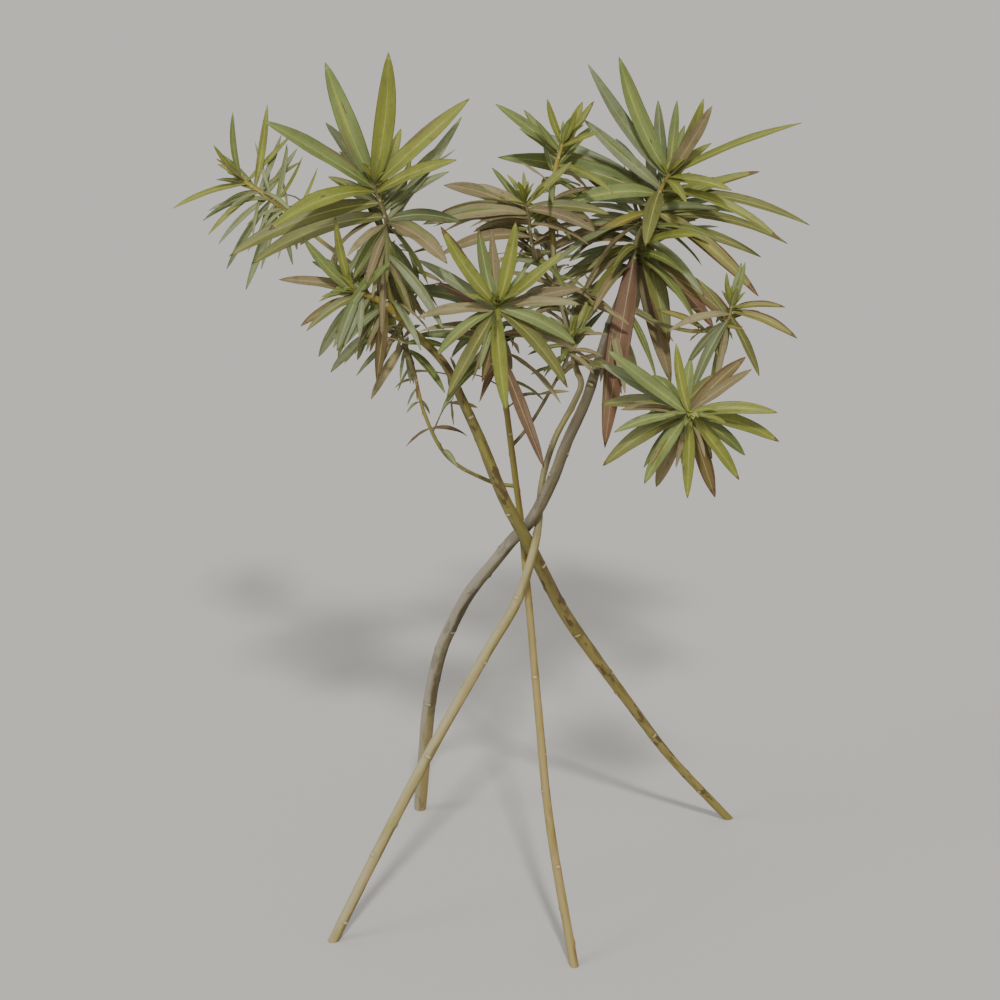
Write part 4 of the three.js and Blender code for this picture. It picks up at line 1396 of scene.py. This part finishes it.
BARK_KINDS = {
    "straw": Bark(
        "front cane", (162, 146, 94), (108, 92, 50), (150, 146, 78), (173, 163, 126), (98, 90, 60),
        tip_from=0.52, spotted=0.12),
    "tawny": Bark(
        "middle cane", (160, 137, 82), (112, 82, 43), (150, 134, 58), (158, 142, 92), (128, 122, 48),
        tip_from=0.45, spotted=0.25),
    "olive": Bark(
        "right cane", (142, 128, 68), (84, 64, 32), (150, 144, 54), (110, 104, 80), (120, 112, 55),
        tip_from=0.4, spotted=0.9),
    "grey": Bark(
        "back cane", (124, 113, 80), (62, 52, 32), (104, 94, 46), (168, 161, 144), (94, 84, 60),
        tip_from=0.55, spotted=0.3, pale_foot=0.8),
    "young": Bark(
        "green stems", (120, 118, 64), (78, 74, 40), (144, 138, 60), (128, 124, 84), (160, 138, 58)),
    "dusky": Bark(
        "brown stems", (106, 98, 56), (74, 64, 40), (128, 118, 62), (122, 114, 86), (110, 98, 58)),
    "golden": Bark(
        "yellow stems", (146, 132, 54), (112, 98, 40), (156, 146, 58), (158, 146, 70), (164, 144, 54)),
    "dry": Bark(
        "dead twigs", (104, 94, 68), (78, 66, 46), (144, 138, 60), (124, 114, 90), (104, 94, 68),
        tip_from=0.5, spotted=0.5),
}
# The pale colour paints light on a cane's paler side, with some real bleaching, and the colour of the dark
# blotches also paints shade on its darker side
BARK_COLOURS = {
    "ground": "Bark of the",
    "patch": "Dark blotches on the",
    "glow": "Bright blotches on the",
    "pale": "Bleached side of the",
    "tip": "Upper part of the",
}


def bark_colour_settings():
    """A setting for each colour of each kind of bark."""
    return {
        f"{kind}_{colour}": colour_setting(
            f"{kind} {colour}".title(), f"{words} {bark.place}", *getattr(bark, colour))
        for kind, bark in BARK_KINDS.items() for colour, words in BARK_COLOURS.items()}


def bark_of(kind, settings):
    """A kind of bark in the colours of the settings."""
    return replace(
        BARK_KINDS[kind], **{colour: getattr(settings, f"{kind}_{colour}") for colour in BARK_COLOURS})


class SpurgeBarkSettings(bpy.types.PropertyGroup):
    """Sizes and colours of the bark."""

    sides: IntProperty(name="Sides", description="Faces round a cane", min=8, max=64, default=24)
    relief: length_setting("Relief", "Height of the bark's lumps", 0.4 * MM)
    lump_size: length_setting("Lump Size", "Distance between the bark's lumps", 22 * MM)
    scar_height: length_setting("Scar Height", "How far a leaf scar stands out", 1.1 * MM)
    scar_spacing: length_setting("Scar Spacing", "Distance between a cane's leaf scars", 50 * MM)
    grain_depth: length_setting("Grain Depth", "Depth of the bark's grain", 0.5 * MM)
    # A paler, yellower colour towards the foot of the back cane
    pale_foot: colour_setting("Worn", "Worn foot of the back cane", 156, 138, 84)
    scar: colour_setting("Scar", "Leaf scars", 190, 178, 136)
    __annotations__.update(bark_colour_settings())


class SpurgeLeafSettings(bpy.types.PropertyGroup):
    """Sizes and colours of the leaves."""

    thickness: length_setting("Thickness", "Half the thickness of a blade", 0.4 * MM)
    rib_width: length_setting("Rib Width", "Half the width of a midrib at its foot", 1.2 * MM)
    scorched: FloatProperty(
        name="Scorched", description="Share of the living leaves with a brown tip", subtype="FACTOR",
        min=0, max=1, default=0.16)
    margin_width: length_setting("Margin Width", "Half the width of a leaf's pale margin", 0.35 * MM)
    lime_bright: colour_setting("Bright Lime", "Young leaves", 128, 134, 50)
    lime_soft: colour_setting("Soft Lime", "Young leaves", 120, 134, 72)
    green_fresh: colour_setting("Fresh Green", "Grown leaves", 102, 115, 54)
    green_olive: colour_setting("Olive Green", "Grown leaves", 112, 113, 54)
    grey_green: colour_setting("Grey Green", "Old leaves", 104, 115, 72)
    green_dull: colour_setting("Dull Green", "Old leaves", 92, 103, 58)
    silver: colour_setting("Silver", "Grey backs of leaves", 128, 138, 100)
    autumn: colour_setting("Autumn", "Leaves that turn yellow", 130, 122, 46)
    amber: colour_setting("Amber", "Leaves that dry out", 112, 98, 52)
    tan: colour_setting("Tan", "Dying leaves", 126, 113, 76)
    straw: colour_setting("Straw", "Dying leaves", 142, 132, 92)
    rust: colour_setting("Rust", "Dead leaves", 121, 89, 63)
    brown: colour_setting("Brown", "Dead leaves", 116, 90, 66)
    bud: colour_setting("Bud", "Scales round the tips of shoots", 162, 164, 86)
    rib: colour_setting("Midrib", "Midribs of living leaves", 160, 160, 90)
    dry_rib: colour_setting("Dry Midrib", "Midribs of dead leaves", 160, 140, 104)
    margin: colour_setting("Margin", "Pale margins of leaves", 140, 142, 88)
    scorch: colour_setting("Scorch", "Brown tips and edges", 98, 72, 42)
    stain: colour_setting("Stain", "Stains on living leaves", 108, 102, 48)
    dry_stain: colour_setting("Dry Stain", "Stains on dead leaves", 102, 84, 52)
    yellow_streak: colour_setting("Yellow Streak", "Patches along young leaves", 148, 148, 56)
    tan_streak: colour_setting("Tan Streak", "Patches on leaves of any age", 128, 114, 66)
    green_streak: colour_setting("Green Streak", "Patches on leaves of any age", 116, 126, 66)
    brown_streak: colour_setting("Brown Streak", "Spots on leaves of any age", 98, 82, 46)
    mauve_streak: colour_setting("Mauve Streak", "Patches on dead leaves", 130, 106, 86)


class SpurgeStageSettings(bpy.types.PropertyGroup):
    """The floor, the lights and the camera."""

    floor: colour_setting("Floor", "Pale floor", 196, 192, 186)
    key: FloatProperty(name="Key Light", description="Strength of the main light", min=0, default=1.95)
    softness: FloatProperty(
        name="Softness", description="Width of the main light", subtype="ANGLE", unit="ROTATION",
        min=0, max=math.pi, default=math.radians(5))
    side: FloatProperty(
        name="Side Light", description="Strength of the light from the left", min=0, default=0.7)
    fill: FloatProperty(
        name="Fill Light", description="Strength of the light from all round", min=0, default=0.56)
    lens: FloatProperty(
        name="Lens", description="Focal length", subtype="DISTANCE_CAMERA", min=1, default=120)


def dress_limbs(names, context):
    """Puts bark on canes or boughs, one piece for each, in place of its node."""
    settings = context.scene.spurge_bark
    for seed, name in enumerate(names):
        limb = LIMBS[name]
        path = Path(limb["points"])
        grounded = "from" not in limb
        lines = line_mesh([
            (path, limb["radii"], LIMB_SEED + seed, settings.scar_spacing, CANE_SWELLING, grounded)])
        finish = bark_finish("bark_" + name, bark_of(BARKS[name], settings), settings)
        piece = grow(
            "bark_" + name, lines, bark_growth(), sides=settings.sides, relief=settings.relief,
            lump_size=settings.lump_size, scar_height=settings.scar_height, finish=finish)
        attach(piece, "root")
        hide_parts(name)


def stem_line(shoot):
    """The line of a young stem. One that goes on from a limb's tip starts a little way inside the limb."""
    points = shoot["points"]
    radii = [*shoot["radii"], STEM_END * shoot["radii"][-1]]
    limb = LIMBS[shoot["from"]]
    if points[0] == limb["points"][-1]:
        before = Vector(limb["points"][-2])
        foot = Vector(points[0])
        points = [foot + (before - foot).normalized() * STEM_OVERLAP, *points]
        radii[0] = limb["radii"][-1]
    return Path(points), radii, shoot["seed"], YOUNG_STEMS["spacing"], YOUNG_STEMS["swelling"], False


def dress_stems(name, kind, lines, context, **values):
    """Grows one piece of stems or twigs in place of the part's masses."""
    settings = context.scene.spurge_bark
    finish = bark_finish(name, bark_of(kind, settings), settings)
    piece = grow(name, line_mesh(lines), bark_growth(), finish=finish, **values)
    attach(piece, "root")
    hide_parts(*SHOOTS)


def dress_leaves(name, mesh, finish, **values):
    """Grows one piece of the foliage in place of the part's masses."""
    piece = grow(name, mesh, leaf_growth(), finish=finish, **values)
    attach(piece, "root")
    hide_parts(*SHOOTS)


class SPURGE_OT_canes(bpy.types.Operator):
    """Put bark on the four canes"""

    bl_idname = "spurge.canes"
    bl_label = "Canes"

    def execute(self, context):
        dress_limbs([name for name, limb in LIMBS.items() if "from" not in limb], context)
        return {"FINISHED"}


class SPURGE_OT_boughs(bpy.types.Operator):
    """Put bark on the boughs that spring from the canes"""

    bl_idname = "spurge.boughs"
    bl_label = "Boughs"

    def execute(self, context):
        dress_limbs([name for name, limb in LIMBS.items() if "from" in limb], context)
        return {"FINISHED"}


class SPURGE_OT_young_stems(bpy.types.Operator):
    """Grow the stems that carry the leaves, one piece for each kind of bark"""

    bl_idname = "spurge.young_stems"
    bl_label = "Young Stems"

    def execute(self, context):
        for kind in ("young", "dusky", "golden"):
            shoots = [shoot for name, shoot in SHOOTS.items() if SHOOT_BARKS.get(name, "young") == kind]
            lines = [stem_line(shoot) for shoot in shoots]
            dress_stems(
                kind + "_stems", kind, lines, context, sides=16, relief=0.2 * MM, scar_height=0.9 * MM)
        return {"FINISHED"}


class SPURGE_OT_twigs(bpy.types.Operator):
    """Grow the thin dry twigs behind the rosettes"""

    bl_idname = "spurge.twigs"
    bl_label = "Dry Twigs"

    def execute(self, context):
        lines = [
            (path, TWIG_RADII, TWIG_SEED + k, DRY_TWIGS["spacing"], DRY_TWIGS["swelling"], False)
            for k, path in enumerate(twig_paths())]
        dress_stems("dry_twigs", "dry", lines, context, sides=8, relief=0.1 * MM, scar_height=0.3 * MM)
        return {"FINISHED"}


class SPURGE_OT_leaves(bpy.types.Operator):
    """Grow the leaf blades, one piece for each tone"""

    bl_idname = "spurge.leaves"
    bl_label = "Leaves"

    def execute(self, context):
        settings = context.scene.spurge_leaves
        for tone in dict.fromkeys(leaf.tone for leaf in dealt_leaves()):
            blades = [whole(leaf) for leaf in dealt_leaves() if leaf.tone == tone]
            dry = tone in DRY_TONES
            stain = settings.dry_stain if dry else settings.stain
            roughness = DRY_ROUGHNESS if dry else LIVING_ROUGHNESS
            finish = leaf_finish("leaf_" + tone, getattr(settings, tone), stain, roughness)
            dress_leaves("leaves_" + tone, leaf_mesh(blades, settings.thickness), finish)
        return {"FINISHED"}


class SPURGE_OT_midribs(bpy.types.Operator):
    """Grow the raised midribs, pale on living leaves and sandy on dead ones"""

    bl_idname = "spurge.midribs"
    bl_label = "Midribs"

    def execute(self, context):
        settings = context.scene.spurge_leaves
        kinds = (("midribs", False, settings.rib), ("midribs_dry", True, settings.dry_rib))
        for name, dry, colour in kinds:
            ribs = [
                (leaf, (0, RIB_END, 0), (0, min(settings.rib_width, leaf.width * RIB_MOST), 0))
                for leaf in dealt_leaves() if (leaf.tone in DRY_TONES) == dry and leaf.tone != BUD_TONE]
            mesh = leaf_mesh(ribs, settings.thickness + RIB_RISE)
            dress_leaves(name, mesh, leaf_finish(name, colour, colour), sides=6)
        return {"FINISHED"}


class SPURGE_OT_margins(bpy.types.Operator):
    """Grow the fine pale margins of the living leaves"""

    bl_idname = "spurge.margins"
    bl_label = "Margins"

    def execute(self, context):
        settings = context.scene.spurge_leaves
        edges = [
            (leaf, (*MARGIN_ENDS, lane), (0, settings.margin_width, 0)) for leaf in dealt_leaves()
            if leaf.tone not in DRY_TONES and leaf.tone != BUD_TONE for lane in (-1, 1)]
        mesh = leaf_mesh(edges, settings.thickness)
        finish = leaf_finish("margins", settings.margin, settings.margin)
        dress_leaves("margins", mesh, finish, sides=4, stations=13)
        return {"FINISHED"}


class SPURGE_OT_streaks(bpy.types.Operator):
    """Grow the long patches of other colours on the blades"""

    bl_idname = "spurge.streaks"
    bl_label = "Streaks"

    def execute(self, context):
        settings = context.scene.spurge_leaves
        for kind, rule in STREAKS.items():
            colour = getattr(settings, kind + "_streak")
            mesh = leaf_mesh(streaks(*rule), settings.thickness + STREAK_RISE)
            finish = leaf_finish("streak_" + kind, colour, colour)
            dress_leaves("streaks_" + kind, mesh, finish, sides=8, stations=13)
        return {"FINISHED"}


class SPURGE_OT_scorch(bpy.types.Operator):
    """Grow the brown tips and edges of scorched leaves"""

    bl_idname = "spurge.scorch"
    bl_label = "Scorched Tips and Edges"

    def execute(self, context):
        settings = context.scene.spurge_leaves
        parts = []
        for leaf in dealt_leaves():
            turning = leaf.tone in (*TONES[AUTUMN], *TONES[AMBER])
            whole_or_dead = leaf.luck > settings.scorched or leaf.tone in (*TONES[TAN], *TONES[RUST])
            if leaf.tone == BUD_TONE or (whole_or_dead and not turning):
                continue
            tip = TIP_STARTS[0] if turning else lerp(*TIP_STARTS, leaf.phase)
            parts.append((leaf, (tip, 1, 0), (TIP_WIDTH, 0, 0)))
            side = 1 if leaf.phase < 0.5 else -1
            edges = TURNING_EDGES if turning else BURNT_EDGES if leaf.phase < BURNT_SHARE else ()
            for start, end, lane, width in edges:
                parts.append((leaf, (start, end, lane * side), (width, 0, 1)))
        mesh = leaf_mesh(parts, settings.thickness + SCORCH_RISE)
        finish = leaf_finish("leaf_scorch", settings.scorch, settings.scorch, SCORCH_ROUGHNESS)
        dress_leaves("scorched_edges", mesh, finish, sides=8)
        return {"FINISHED"}


def shine(scene, name, energy, angle, toward):
    """Adds a distant lamp that stands in a direction from the plant."""
    lamp = bpy.data.lights.new(name, "SUN")
    lamp.energy = energy
    lamp.angle = angle
    light = bpy.data.objects.new(name, lamp)
    light.rotation_euler = Vector(toward).to_track_quat("Z", "Y").to_euler()
    scene.collection.objects.link(light)


class SPURGE_OT_stage(bpy.types.Operator):
    """Set up the floor, the lights and the camera"""

    bl_idname = "spurge.stage"
    bl_label = "Stage"

    def execute(self, context):
        settings = context.scene.spurge_stage
        scene = context.scene
        bpy.ops.mesh.primitive_circle_add(
            vertices=FLOOR_SIDES, radius=FLOOR_RADIUS, fill_type="NGON", location=FLOOR_MIDDLE)
        floor = context.object
        floor.name = "floor"
        material, graph = shader("floor_paint")
        surface(graph, {"Base Color": (*settings.floor, 1), "Roughness": 0.9})
        floor.data.materials.append(material)
        floor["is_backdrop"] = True
        world = bpy.data.worlds.new("studio")
        world.use_nodes = True
        background = world.node_tree.nodes["Background"]
        background.inputs["Color"].default_value = (1, 1, 1, 1)
        background.inputs["Strength"].default_value = settings.fill
        scene.world = world
        shine(scene, "key", settings.key, settings.softness, KEY_TOWARD)
        shine(scene, "side", settings.side, settings.softness * SIDE_SOFTNESS, SIDE_TOWARD)
        camera = bpy.data.objects.new("camera", bpy.data.cameras.new("camera"))
        camera.data.lens = settings.lens
        camera.location = CAMERA_PLACE
        camera.rotation_euler = (math.radians(CAMERA_TILT), 0, 0)
        scene.collection.objects.link(camera)
        scene.camera = camera
        return {"FINISHED"}


OPERATORS = (
    SPURGE_OT_canes, SPURGE_OT_boughs, SPURGE_OT_young_stems, SPURGE_OT_twigs, SPURGE_OT_leaves,
    SPURGE_OT_midribs, SPURGE_OT_margins, SPURGE_OT_streaks, SPURGE_OT_scorch, SPURGE_OT_stage)
SETTINGS = {
    "spurge_bark": SpurgeBarkSettings,
    "spurge_leaves": SpurgeLeafSettings,
    "spurge_stage": SpurgeStageSettings,
}


class SPURGE_PT_panel(bpy.types.Panel):
    """The plant's pieces and settings"""

    bl_idname = "SPURGE_PT_panel"
    bl_label = "Honey Spurge"
    bl_space_type = "VIEW_3D"
    bl_region_type = "UI"
    bl_category = "Spurge"

    def draw(self, context):
        for operator in OPERATORS:
            self.layout.operator(operator.bl_idname)
        for name in SETTINGS:
            group = getattr(context.scene, name)
            box = self.layout.box()
            for setting in group.bl_rna.properties:
                if setting.identifier not in ("rna_type", "name"):
                    box.prop(group, setting.identifier)


def register():
    for member in (*SETTINGS.values(), *OPERATORS, SPURGE_PT_panel):
        bpy.utils.register_class(member)
    for name, group in SETTINGS.items():
        setattr(bpy.types.Scene, name, PointerProperty(type=group))


def unregister():
    for name in SETTINGS:
        delattr(bpy.types.Scene, name)
    for member in reversed((*SETTINGS.values(), *OPERATORS, SPURGE_PT_panel)):
        bpy.utils.unregister_class(member)


def main():
    register()
    bpy.ops.spurge.canes()
    bpy.ops.spurge.boughs()
    bpy.ops.spurge.young_stems()
    bpy.ops.spurge.twigs()
    bpy.ops.spurge.leaves()
    bpy.ops.spurge.midribs()
    bpy.ops.spurge.margins()
    bpy.ops.spurge.streaks()
    bpy.ops.spurge.scorch()
    bpy.ops.spurge.stage()
    boxes = {"part": PART_BOX, "scene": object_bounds()}
    sizes = {name: [list(corner) for corner in box] for name, box in boxes.items()}


if __name__ == "__main__":
    main()
